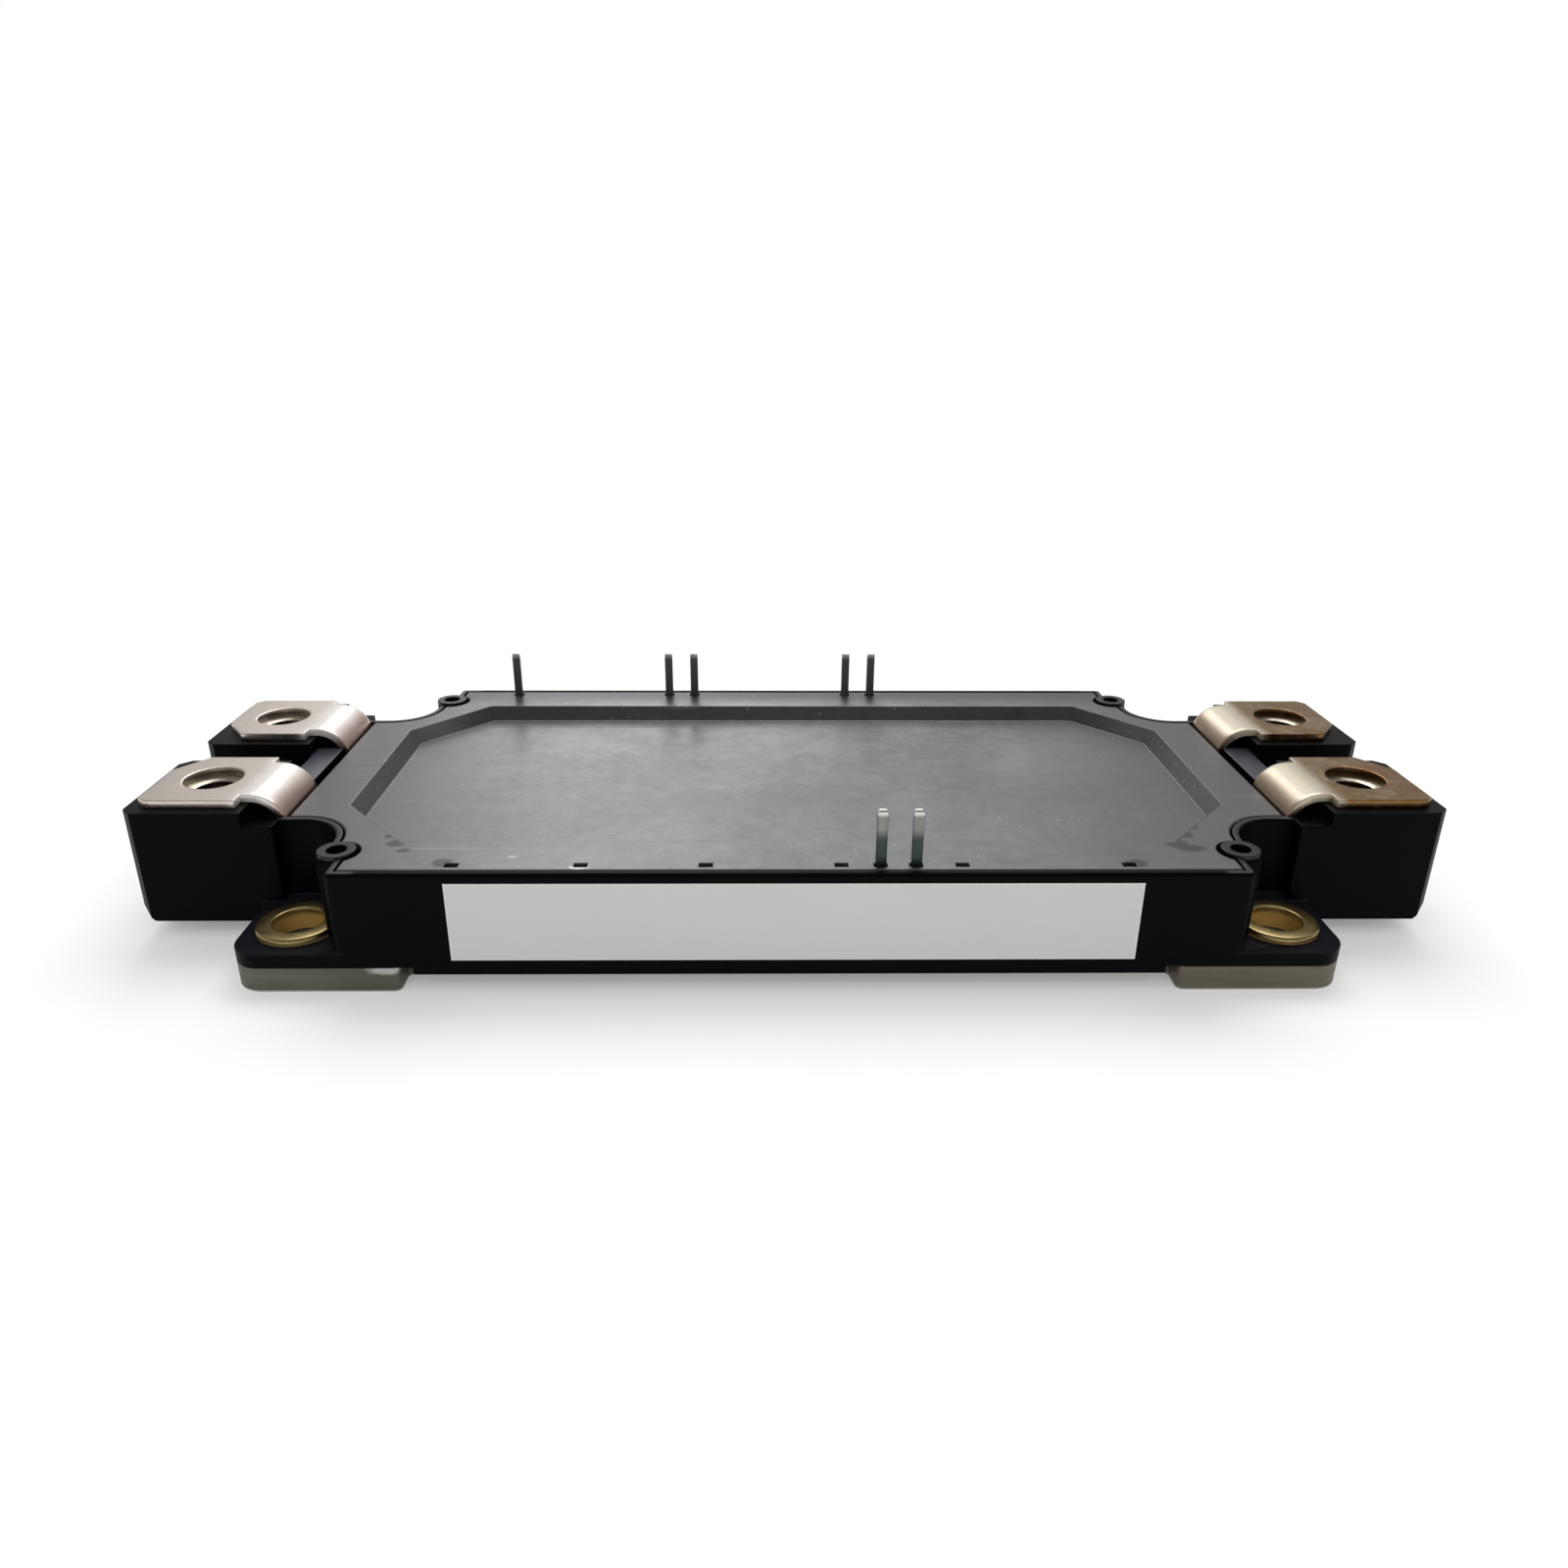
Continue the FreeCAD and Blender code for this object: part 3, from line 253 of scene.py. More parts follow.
class TerminalSettings(bpy.types.PropertyGroup):
    thick: length("Thickness", "Thickness of the strip", 0.001)
    neck: length("Neck width", "Width of the strip in the case wall", 0.0102)
    bend: length("Bend radius", "Inner radius of the fold below the pad", 0.003)
    foot_bend: length("Foot bend radius", "Inner radius of the fold above the foot", 0.0006)
    pad_before: length("Pad before screw", "Pad from its screw towards the case", 0.0052)
    bevel_along: length("Inner bevel along", "Large corner bevel along the strip", 0.003)
    bevel_across: length("Inner bevel across", "Large corner bevel across the strip", 0.0042)
    nick: length("Outer nick", "Small corner bevel of the pad", 0.0009)
    edge: length("Edge rounding", "Rounding of the stamped edges", 0.00013)
    # Lit and shaded copies of the plating: a painted highlight over the fold, painted shade on the pads and
    # risers
    plating: colour("Plating", "the plating", (0.99, 0.95, 0.91))
    pad: colour("Pad", "the left-hand pads", (0.86, 0.77, 0.69))
    riser: colour("Riser", "the left-hand strips at the case", (0.72, 0.52, 0.43))
    toned_plating: colour("Toned plating", "the plating on the right-hand side", (0.74, 0.67, 0.52))
    toned: colour("Toned pad", "the right-hand pads", (0.27, 0.14, 0.04))
    toned_riser: colour("Toned riser", "the right-hand strips at the case", (0.5, 0.37, 0.26))
    grime: colour("Grime", "the worn patches", (0.05, 0.035, 0.025))


class PinSettings(bpy.types.PropertyGroup):
    edge: length("Edge rounding", "Rounding of the pins' edges", 0.0001)
    tin: colour("Tin", "the pins", (0.3, 0.3, 0.285))
    # Colour of a painted dark reflection on the front pins below their tips
    dull: colour("Dull tin", "the front pins below their tips", (0.05, 0.07, 0.065))
    streak: colour("Streaks", "the streaks on the pins", (0.05, 0.055, 0.05))


class LabelSettings(bpy.types.PropertyGroup):
    edge: length("Edge rounding", "Rounding of the label's edges", 0.00005)
    foil: colour("Foil", "the blank label", (0.645, 0.645, 0.63))


class StageSettings(bpy.types.PropertyGroup):
    place: FloatVectorProperty(name="Camera place", description="Where the camera stands",
                               default=(-0.0033, -0.13851, 0.06978), size=3, subtype="TRANSLATION",
                               unit="LENGTH")
    pitch: angle("Pitch", "How far the camera looks down", 22.8)
    yaw: angle("Yaw", "How far the camera turns to the right", 0.79)
    roll: angle("Roll", "How far the camera leans", 0.29)
    lens: FloatProperty(name="Focal length", description="In millimetres", default=26.42, min=1.0)
    shift: FloatProperty(name="Sideways shift", description="As a share of the width", default=0.0056)
    key: power("Key lamp", "Power of the large lamp overhead", 4.2)
    sheen: power("Sheen lamp", "Power of the low lamp behind", 0.9)
    front: power("Front lamp", "Power of the weak lamp at the front", 3.4)
    fill: FloatProperty(name="Sky", description="Strength of light from all round", default=0.5, min=0.0)
    dim: share("Dim side", "Strength of the sky in reflections, overhead and at the front", 0.22)
    floor: colour("Floor", "the floor", (0.86, 0.86, 0.86))


# Shader terms

class Term:
    """A shader value used in ordinary sums and products; each one adds a Math node."""

    def __init__(self, graph, socket):
        self.graph = graph
        self.socket = socket

    def step(self, operation, *values):
        """The result of a Math node."""
        made = self.graph.node("ShaderNodeMath", {"operation": operation}, dict(enumerate(values)))
        return Term(self.graph, made.outputs[0])

    def __add__(self, other):
        return self.step("ADD", self, other)

    __radd__ = __add__

    def __sub__(self, other):
        return self.step("SUBTRACT", self, other)

    def __rsub__(self, other):
        return self.step("SUBTRACT", other, self)

    def __mul__(self, other):
        return self.step("MULTIPLY", self, other)

    __rmul__ = __mul__

    def __truediv__(self, other):
        return self.step("DIVIDE", self, other)

    def __rtruediv__(self, other):
        return self.step("DIVIDE", other, self)

    def __abs__(self):
        return self.step("ABSOLUTE", self)


class Graph:
    """A node tree that is filled from nothing."""

    def __init__(self, tree):
        self.tree = tree
        self.tree.nodes.clear()

    def node(self, kind, settings=None, sockets=None):
        """A node of a kind: its settings are set first, then the values or links of its sockets."""
        made = self.tree.nodes.new(kind)
        for name, value in (settings or {}).items():
            setattr(made, name, value)
        for name, value in (sockets or {}).items():
            self.feed(made.inputs[name], value)
        return made

    def feed(self, socket, value):
        """A link for a term or socket, otherwise a plain value."""
        if isinstance(value, Term):
            value = value.socket
        if isinstance(value, bpy.types.NodeSocket):
            self.tree.links.new(value, socket)
        elif socket.type == "RGBA":
            socket.default_value = (*value[:3], 1.0)
        else:
            socket.default_value = value

    def axis(self, name, source="Object"):
        """One coordinate in metres, or of the direction that a ray of the world takes."""
        coordinates = self.node("ShaderNodeTexCoord").outputs[source]
        return Term(self, self.node("ShaderNodeSeparateXYZ", {}, {0: coordinates}).outputs[name])

    def between(self, value, low, high, start=0.0, end=1.0):
        """Smooth rise from start to end while the value goes from low to high."""
        return Term(self, self.node("ShaderNodeMapRange", {"interpolation_type": "SMOOTHSTEP"}, {
            "Value": value, "From Min": low, "From Max": high, "To Min": start, "To Max": end}).outputs[0])

    def band(self, value, rise, fall):
        """1 between two soft borders and 0 outside them."""
        return self.between(value, *rise) * self.between(value, *fall)

    def level(self, value, height):
        """1 on a flat face at a height and 0 elsewhere."""
        return self.between(abs(value - height), *LEVEL_BORDER)

    def clamped(self, value):
        """A smooth value that stays from 0 to 1."""
        return self.between(value, 0.0, 1.0)

    def tint(self, factor, first, second):
        """Colour between two colours."""
        sockets = {0: factor, 6: first, 7: second}
        return self.node("ShaderNodeMix", {"data_type": "RGBA"}, sockets).outputs[2]

    def vary(self, factor, tone, darkest, lightest):
        """Colour between a darker and a lighter shade of one colour."""
        return self.tint(factor, shaded(tone, darkest), shaded(tone, lightest))


class Finish(Graph):
    """A material in the making, with a Principled surface at its end."""

    def __init__(self, name, **constants):
        self.material = bpy.data.materials.new(name)
        self.material.use_nodes = True
        super().__init__(self.material.node_tree)
        self.surface = self.node("ShaderNodeBsdfPrincipled")
        self.output = self.node("ShaderNodeOutputMaterial", {}, {"Surface": self.surface.outputs[0]})
        self.paint(**constants)

    def paint(self, **values):
        """Set or link sockets of the surface; an underscore stands for a space in a socket's name."""
        for name, value in values.items():
            self.feed(self.surface.inputs[name.replace("_", " ")], value)

    def spot(self, stretch=(1, 1, 1), turn=(0, 0, 0), source="Object"):
        """Object or UV coordinates, turned and stretched."""
        coordinates = self.node("ShaderNodeTexCoord").outputs[source]
        return self.node("ShaderNodeMapping", {}, {
            "Vector": coordinates, "Rotation": turn, "Scale": stretch}).outputs[0]

    def noise(self, size, detail=3.0, rough=0.55, **place):
        """Cloudy variation round 0.5 with blotches of a size in metres."""
        return Term(self, self.node("ShaderNodeTexNoise", {}, {
            "Vector": self.spot(**place), "Scale": 1 / size, "Detail": detail,
            "Roughness": rough}).outputs["Fac"])

    def cells(self, size):
        """Distance to the nearest of points spread at a size in metres."""
        return Term(self, self.node("ShaderNodeTexVoronoi", {}, {
            "Vector": self.spot(), "Scale": 1 / size}).outputs["Distance"])

    def distance(self, place, stretch=(1, 1, 1)):
        """Distance from a place, measured with stretched axes."""
        point = self.node("ShaderNodeVectorMath", {"operation": "MULTIPLY"},
                          {0: self.node("ShaderNodeTexCoord").outputs["Object"], 1: stretch}).outputs[0]
        centre = [a * b for a, b in zip(place, stretch)]
        return Term(self, self.node("ShaderNodeVectorMath", {"operation": "DISTANCE"},
                                    {0: point, 1: centre}).outputs["Value"])

    def relief(self, height, depth):
        """Bump of a height pattern, with its full depth in metres."""
        sockets = {"Height": height, "Distance": depth, "Strength": 1.0}
        return self.node("ShaderNodeBump", {}, sockets).outputs[0]


def shaded(tone, factor):
    """A colour made lighter or darker."""
    return tuple(min(1.0, part * factor) for part in tone)


# Finishes

def case_finish(settings):
    """Black plastic, fine mould grain, polished webs, rims and seats, painted sheen on the webs and ear
    tops.
    """
    finish = Finish("moulded_case", Specular_IOR_Level=0.04, Coat_Roughness=0.28, Coat_IOR=1.7)
    height = finish.axis("Z")
    end = abs(finish.axis("X"))
    web_sheen = (finish.level(height, WEB_LEVEL) * finish.band(end, *WEB_ALONG)
           * finish.between(abs(finish.axis("Y")), *WEB_ACROSS))
    # The ears' top faces, where a painted sheen lightens the case
    ears = finish.level(height, EAR_LEVEL) * finish.band(end, *EAR_ALONG)
    rims = finish.band(height, *RIM_HEIGHT) * finish.band(end, *RIM_ALONG)
    seats = finish.between(height, *SEAT_HEIGHT)
    polished = finish.clamped(web_sheen + rims * 0.6 + seats * 0.25)
    clouds = finish.noise(0.011, 4.0)
    grain = finish.noise(0.00028, 2.0)
    flow = finish.noise(0.004, stretch=(0.25, 1, 1))
    tone = finish.vary(clouds * 0.7 + grain * 0.3, settings.case, 0.6, 1.6)
    # Painted sheen: the ears' tops go lighter and bluer
    tone = finish.tint(ears * (0.2 + clouds * 0.8), tone, settings.ear)
    finish.paint(
        # Painted sheen: the webs' colour goes towards a bluish grey
        Base_Color=finish.tint(web_sheen * (0.3 + clouds * 0.9), tone, settings.web_sheen),
        Roughness=settings.case_roughness - 0.1 + clouds * 0.12 + flow * 0.08,
        Coat_Weight=polished * (0.45 + clouds * 0.55),
        Normal=finish.relief(grain + flow * 0.4, 0.000012))
    return finish.material


def lid_finish(settings):
    """Black lid with a satin skin: mottled sheen, fine grain, dust, scratches, painted white glints and
    dark smudges.
    """
    finish = Finish("moulded_lid", Specular_IOR_Level=0.5, Coat_Roughness=0.43, Coat_IOR=1.8)
    clouds = finish.noise(0.018, 5.0, 0.6)
    mottle = finish.noise(0.0021, 5.0, 0.7)
    grain = finish.noise(0.00035)
    drawn = finish.noise(0.003, 4.0, stretch=(0.12, 1, 1), turn=(0, 0, 0.1))
    ragged = finish.noise(0.0011) * 0.8
    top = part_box("lid")[1].z
    across = finish.axis("Y")
    smudge = sum(finish.between(finish.distance((x, y, top), (stretch, 1, 1)) / radius + ragged, 1.5, 0.95)
                 for x, y, radius, stretch in SMUDGES)
    # Painted glints: small white highlights on the lid's border
    painted_glint_spots = sum(finish.between(finish.distance((x, y, top), (stretch, 1, 1)), *border) * strength
                 for x, y, stretch, border, strength in PAINTED_GLINTS)
    walls = finish.band(finish.axis("Z"), *DISH_WALL)
    rubbed = (finish.between(abs(finish.axis("X") - LID_MIDDLE), *LID_ENDS)
              * finish.band(across, LID_BACK, LID_FRONT))
    skin = finish.between(across, *LID_BACK, 0.08, 0.4) + (
        finish.between(mottle * 0.4 + clouds * 0.6, 0.28, 0.72) * rubbed)
    dust = finish.between(finish.cells(0.0016), 0.13, 0.07) * finish.between(clouds, 0.45, 0.6)
    scratch = finish.between(finish.noise(0.0007, 2.0, stretch=(0.03, 1, 1), turn=(0, 0, 0.5)), 0.66, 0.74)
    tone = finish.vary(clouds * 0.5 + mottle * 0.5, settings.lid, 0.6, 1.5)
    tone = finish.tint(scratch * 0.3 + dust * 0.5, tone, settings.dust)
    tone = finish.tint(smudge * 0.75, tone, shaded(settings.lid, 0.3))
    finish.paint(
        Base_Color=finish.tint(painted_glint_spots, tone, settings.speck),
        Roughness=settings.lid_roughness - 0.14 + clouds * 0.16 + drawn * 0.08,
        Coat_Weight=skin * finish.between(smudge + walls * 0.85, 0.0, 1.0, 1.0, 0.1),
        Normal=finish.relief(grain + drawn * 0.25, 0.000009))
    return finish.material


def plate_finish(settings):
    """Nickel-plated copper, clean below: painted dark reflection on its edges, greenish, warmer right; one
    painted glint.
    """
    finish = Finish("nickel_plating", Metallic=1.0)
    streaks = finish.noise(0.0006, stretch=(0.05, 1, 1))
    stains = finish.noise(0.009, 4.0)
    grain = finish.noise(0.00025, 2.0)
    right = finish.between(finish.axis("X"), *PLATE_RIGHT)
    # All but the underside take the painted dark reflection
    edges = finish.between(finish.axis("Z"), *PLATE_UNDERSIDE)
    # Painted glint: a white highlight on the front edge
    chip = finish.between(finish.distance(*PLATE_GLINT_SPOT) + finish.noise(0.0008) * 0.0006, 0.0011, 0.0006)
    tone = finish.tint(edges, settings.nickel, finish.tint(right, settings.dark_edge_reflection, settings.warm_edge_reflection))
    tone = finish.tint(chip, tone, settings.chip)
    finish.paint(
        Base_Color=finish.tint((streaks + stains) * 0.35, tone, settings.streak),
        Roughness=0.36 + streaks * 0.14 + stains * 0.1,
        Normal=finish.relief(streaks + grain * 0.6, 0.00001))
    return finish.material


def brass_finish(settings):
    """Turned brass: fine rings round the axis, dull and darker in the bore."""
    finish = Finish("turned_brass")
    rings = finish.noise(0.00009, 2.0, stretch=(0.004, 1, 1), source="UV")
    blotches = finish.noise(0.0016, 4.0)
    deep = finish.between(finish.axis("Z"), *BUSHING_BORE)
    tone = finish.vary(blotches * 0.6 + rings * 0.4, settings.brass, 0.55, 1.3)
    finish.paint(
        Base_Color=finish.tint(deep * 0.85, tone, settings.deep),
        Metallic=1.0 - deep * 0.8,
        Roughness=0.2 + blotches * 0.14 + rings * 0.08,
        Normal=finish.relief(rings, 0.000006))
    return finish.material


def nut_finish(settings):
    """Zinc-plated steel with cloudy plating and turning marks, and painted shade deep in the thread."""
    finish = Finish("nut_plating", Metallic=1.0)
    clouds = finish.noise(0.0015, 4.0)
    rings = finish.noise(0.0002, 2.0, stretch=(0.01, 1, 1), source="UV")
    # Painted shade darkens the thread below the top of the nut
    deep = finish.between(finish.axis("Z"), *NUT_BORE_SHADE)
    tone = finish.vary(clouds, settings.steel, 0.7, 1.15)
    finish.paint(
        Base_Color=finish.tint(deep, tone, settings.deep),
        Roughness=0.18 + clouds * 0.14,
        Normal=finish.relief(rings, 0.000005))
    return finish.material


def terminal_finish(settings):
    """Plated copper strip, rolling lines: painted highlight on the fold, painted shade on pads and risers,
    browner at right.
    """
    finish = Finish("terminal_plating")
    rolled = finish.noise(0.0004, stretch=(0.03, 1, 1), source="UV")
    clouds = finish.noise(0.0035, 5.0, 0.62)
    fine = finish.noise(0.0009, 4.0, 0.6)
    run = finish.axis("X", "UV") + (clouds - 0.5) * 0.002
    right = finish.between(finish.axis("X"), *RIGHT_HALF)
    patches = finish.between(fine * 0.4 + clouds * 0.6, 0.42, 0.72)
    toned = finish.tint(patches * 0.42, settings.toned, settings.toned_plating)
    # Painted shade on the pads and risers and a painted highlight over the fold, browner on the right-hand
    # side
    pad = finish.tint(right, settings.pad, toned)
    riser = finish.tint(right, settings.riser, settings.toned_riser)
    fold = finish.tint(right, settings.plating, settings.toned_plating)
    flat = finish.between(run, *PAD_RUN)
    upright = finish.between(run, *RISER_RUN)
    tone = finish.tint(upright, finish.tint(flat, fold, pad), riser)
    worn = (clouds * 0.5 + fine * 0.3 + rolled * 0.2) * 0.38
    finish.paint(
        Base_Color=finish.tint(worn, tone, finish.tint(0.75, tone, settings.grime)),
        Metallic=1.0 - (1.0 - flat) * (1.0 - upright) * 0.55,
        Roughness=0.18 + clouds * 0.16 + rolled * 0.07,
        Normal=finish.relief(rolled * 0.6 + fine * 0.4, 0.000012))
    return finish.material


def pin_finish(settings):
    """Tinned pins, dull on the sides and bright at the tips; the front ones have a painted dark reflection
    below their tips.
    """
    finish = Finish("pin_tin", Metallic=1.0)
    drawn = finish.noise(0.0004, stretch=(1, 1, 0.12))
    clouds = finish.noise(0.0012)
    height = finish.axis("Z")
    # Painted dark reflection on the front pins below their tips
    front = finish.between(finish.axis("Y"), *FRONT_HALF) * finish.between(height, *FRONT_PIN_SIDE)
    tone = finish.tint(front, settings.tin, settings.dull)
    tone = finish.tint(drawn * 0.6, tone, settings.streak)
    finish.paint(
        Base_Color=finish.tint(finish.between(height, *PIN_TIP), tone, shaded(settings.tin, 2.6)),
        Roughness=0.3 + clouds * 0.16,
        Normal=finish.relief(drawn, 0.000008))
    return finish.material


def label_finish(settings):
    """Blank silvery label: even film with a faint grain, soft clouds and paler edges."""
    finish = Finish("label_film", Specular_IOR_Level=0.3)
    clouds = finish.noise(0.012, 4.0)
    grain = finish.noise(0.00025, 2.0)
    ends = 0.0
    for name, margin in LABEL_MARGINS.items():
        low, high = (corner["XYZ".index(name)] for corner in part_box("label"))
        place = finish.axis(name)
        ends = ends + finish.between(place, low + margin, low) + finish.between(place, high - margin, high)
    tone = finish.vary(clouds * 0.7 + grain * 0.3, settings.foil, 0.94, 1.04)
    finish.paint(
        Base_Color=finish.tint(ends * 0.35, tone, shaded(settings.foil, 1.2)),
        Roughness=0.42 + clouds * 0.12,
        Normal=finish.relief(grain, 0.000004))
    return finish.material


def plain_finish(name, tone, spread, size, roughness, depth, constants):
    """A finish for what lies inside: its colour and roughness vary in blotches of a size in metres."""
    finish = Finish(name, **constants)
    clouds = finish.noise(size, 4.0)
    grain = finish.noise(size / 12, 2.0)
    finish.paint(
        Base_Color=finish.vary(clouds * 0.7 + grain * 0.3, tone, 1 - spread, 1 + spread),
        Roughness=roughness + clouds * 0.12,
        Normal=finish.relief(grain, depth))
    return finish.material


# Meshes

def hole_pattern(name):
    """The sizes of a hole pattern in the record."""
    return next(mount["dims"] for mount in frame["record"]["mounts"] if mount["name"] == name)


def link_piece(name, mesh, slot, *nodes):
    """A finished piece that rides on the module and stands for CAD nodes."""
    piece = bpy.data.objects.new(name, mesh)
    bpy.context.scene.collection.objects.link(piece)
    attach(piece, BODY)
    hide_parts(*nodes)


def baked(mesh, *modifiers):
    """The mesh that modifiers make of a mesh; each one is a kind and its settings."""
    carrier = bpy.data.objects.new("carrier", mesh)
    bpy.context.scene.collection.objects.link(carrier)
    for kind, settings in modifiers:
        modifier = carrier.modifiers.new(kind.title(), kind)
        for name, value in settings.items():
            if name == "inputs":
                sockets = {item.name: item.identifier for item in modifier.node_group.interface.items_tree
                           if item.item_type == "SOCKET" and item.in_out == "INPUT"}
                for label, setting in value.items():
                    modifier[sockets[label]] = setting
            else:
                setattr(modifier, name, value)
    depsgraph = bpy.context.evaluated_depsgraph_get()
    result = bpy.data.meshes.new_from_object(
        carrier.evaluated_get(depsgraph), preserve_all_data_layers=True, depsgraph=depsgraph)
    bpy.data.objects.remove(carrier)
    return result


def rounding(width, steps, sharper_than):
    """A Bevel modifier's settings for the edges sharper than an angle."""
    return ("BEVEL", {"width": width, "segments": steps, "limit_method": "ANGLE",
                      "angle_limit": sharper_than, "use_clamp_overlap": False})


def joined_mesh(node):
    """A copy of a CAD node's mesh with its doubles merged and its flat faces made whole."""
    solid = bmesh.new()
    solid.from_mesh(frame["nodes"][node].data)
    bmesh.ops.remove_doubles(solid, verts=solid.verts, dist=SAME_VERTEX)
    bmesh.ops.dissolve_limit(solid, angle_limit=SAME_FACE_ANGLE, verts=solid.verts, edges=solid.edges)
    for face in solid.faces:
        face.smooth = True
    mesh = bpy.data.meshes.new(node + "_joined")
    solid.to_mesh(mesh)
    solid.free()
    return mesh


def rounded_piece(name, node, width, slot, material, steps=2):
    """A piece in the shape of a CAD node, its sharp edges rounded and kept inside the node's box."""
    mesh = baked(joined_mesh(node), rounding(width, steps, MOULDED_ANGLE), EVEN_NORMALS)
    low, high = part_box(node)
    for vertex in mesh.vertices:
        vertex.co = [min(max(value, least), most) for value, least, most in zip(vertex.co, low, high)]
    mesh.materials.append(material)
    link_piece(name, mesh, slot, node)


def softened(corners):
    """Closed outline through corners (a, b, radius), each one rounded by its radius."""
    points = []
    count = len(corners)
    for index, (a, b, radius) in enumerate(corners):
        here = Vector((a, b))
        if radius == 0:
            points.append(here)
            continue
        before = (Vector(corners[index - 1][:2]) - here).normalized()
        after = (Vector(corners[(index + 1) % count][:2]) - here).normalized()
        half = before.angle(after) / 2
        middle = here + (before + after).normalized() * (radius / math.sin(half))
        start = here + before * (radius / math.tan(half)) - middle
        end = here + after * (radius / math.tan(half)) - middle
        turn = start.angle_signed(end)
        for step in range(CORNER_STEPS + 1):
            points.append(middle + Matrix.Rotation(-turn * step / CORNER_STEPS, 2) @ start)
    return [tuple(point) for point in points]


def turned_mesh(name, outline, steps, reach=None):
    """A closed ring turned from an outline of (radius, height); reach may limit the radius at an angle."""
    solid = bmesh.new()
    uv = solid.loops.layers.uv.new("UVMap")
    columns = []
    for step in range(steps):
        turn = math.tau * step / steps
        column = []
        for radius, height in outline:
            far = radius if reach is None else reach(radius, turn)
            column.append(solid.verts.new((far * math.cos(turn), far * math.sin(turn), height)))
        columns.append(column)
    run = [0.0]
    for first, second in zip(outline, outline[1:] + outline[:1]):
        run.append(run[-1] + (Vector(second) - Vector(first)).length)
    count = len(outline)
    for step in range(steps):
        here, there = columns[step], columns[(step + 1) % steps]
        for level in range(count):
            above = (level + 1) % count
            face = solid.faces.new((here[level], there[level], there[above], here[above]))
            face.smooth = True
            turns = (step, step + 1, step + 1, step)
            heights = (run[level], run[level], run[level + 1], run[level + 1])
            for loop, turn, height in zip(face.loops, turns, heights):
                loop[uv].uv = (turn / steps, height)
    bmesh.ops.recalc_face_normals(solid, faces=solid.faces)
    mesh = bpy.data.meshes.new(name)
    solid.to_mesh(mesh)
    solid.free()
    mesh.set_sharp_from_angle(angle=TURNED_ANGLE)
    return mesh


def corner_copies():
    """Geometry Nodes tree that repeats a mesh at the four corners of a rectangle round the middle."""
    group = bpy.data.node_groups.new("corner_copies", "GeometryNodeTree")
    for name, kind in (("Geometry", "NodeSocketGeometry"), ("Spacing X", "NodeSocketFloat"),
                       ("Spacing Y", "NodeSocketFloat"), ("Finish", "NodeSocketMaterial")):
        group.interface.new_socket(name, in_out="INPUT", socket_type=kind)
    group.interface.new_socket("Geometry", in_out="OUTPUT", socket_type="NodeSocketGeometry")
    tree = Graph(group)
    entry = tree.node("NodeGroupInput").outputs
    corners = tree.node("GeometryNodeMeshGrid", {}, {
        "Vertices X": 2, "Vertices Y": 2, "Size X": entry["Spacing X"], "Size Y": entry["Spacing Y"]})
    copies = tree.node("GeometryNodeInstanceOnPoints", {}, {
        "Points": corners.outputs["Mesh"], "Instance": entry["Geometry"]})
    real = tree.node("GeometryNodeRealizeInstances", {}, {0: copies.outputs[0]})
    painted = tree.node("GeometryNodeSetMaterial", {}, {
        "Geometry": real.outputs[0], "Material": entry["Finish"]})
    tree.node("NodeGroupOutput", {}, {0: painted.outputs[0]})
    return group


def repeated(mesh, pattern, material):
    """Four copies of a mesh at a hole pattern of the record."""
    holes = hole_pattern(pattern)
    return baked(mesh, ("NODES", {
        "node_group": bpy.data.node_groups.get("corner_copies") or corner_copies(),
        "inputs": {"Spacing X": holes["spacing_x_mm"] * MILLI, "Spacing Y": holes["spacing_y_mm"] * MILLI,
                   "Finish": material}}))


# Terminals

def strip_path(settings, foot_reach, foot_level, riser, pad_level, pad_start):
    """Middle line of the folded strip: distance run, X and Z of each cross section up to the pad."""
    half = settings.thick / 2
    low = settings.foot_bend + half
    high = settings.bend + half
    points = [(foot_reach, foot_level)]
    for step in range(FOOT_STEPS + 1):
        turn = math.pi / 2 * step / FOOT_STEPS
        points.append((riser - low + low * math.sin(turn), foot_level + low - low * math.cos(turn)))
    for step in range(FOLD_STEPS + 1):
        turn = math.pi / 2 * step / FOLD_STEPS
        points.append((riser + high - high * math.cos(turn), pad_level - high + high * math.sin(turn)))
    points.append((pad_start, pad_level))
    run = 0.0
    path = [(run, *points[0])]
    for first, second in zip(points, points[1:]):
        run += math.dist(first, second)
        path.append((run, *second))
    return path


def pad_outline(settings, start, reach, half, towards_middle):
    """Outline of the pad round its screw: corners and points between them, starting at the neck."""
    neck = settings.neck / 2
    corners = [(start, neck * -towards_middle), (start, half * -towards_middle),
               (reach - settings.nick, half * -towards_middle),
               (reach, (half - settings.nick) * -towards_middle),
               (reach, (half - settings.bevel_across) * towards_middle),
               (reach - settings.bevel_along, half * towards_middle),
               (start, half * towards_middle), (start, neck * towards_middle)]
    points = []
    for first, second in zip(corners, corners[1:] + corners[:1]):
        count = max(1, round(math.dist(first, second) / PAD_STEP))
        for step in range(count):
            points.append(tuple(a + (b - a) * step / count for a, b in zip(first, second)))
    return points


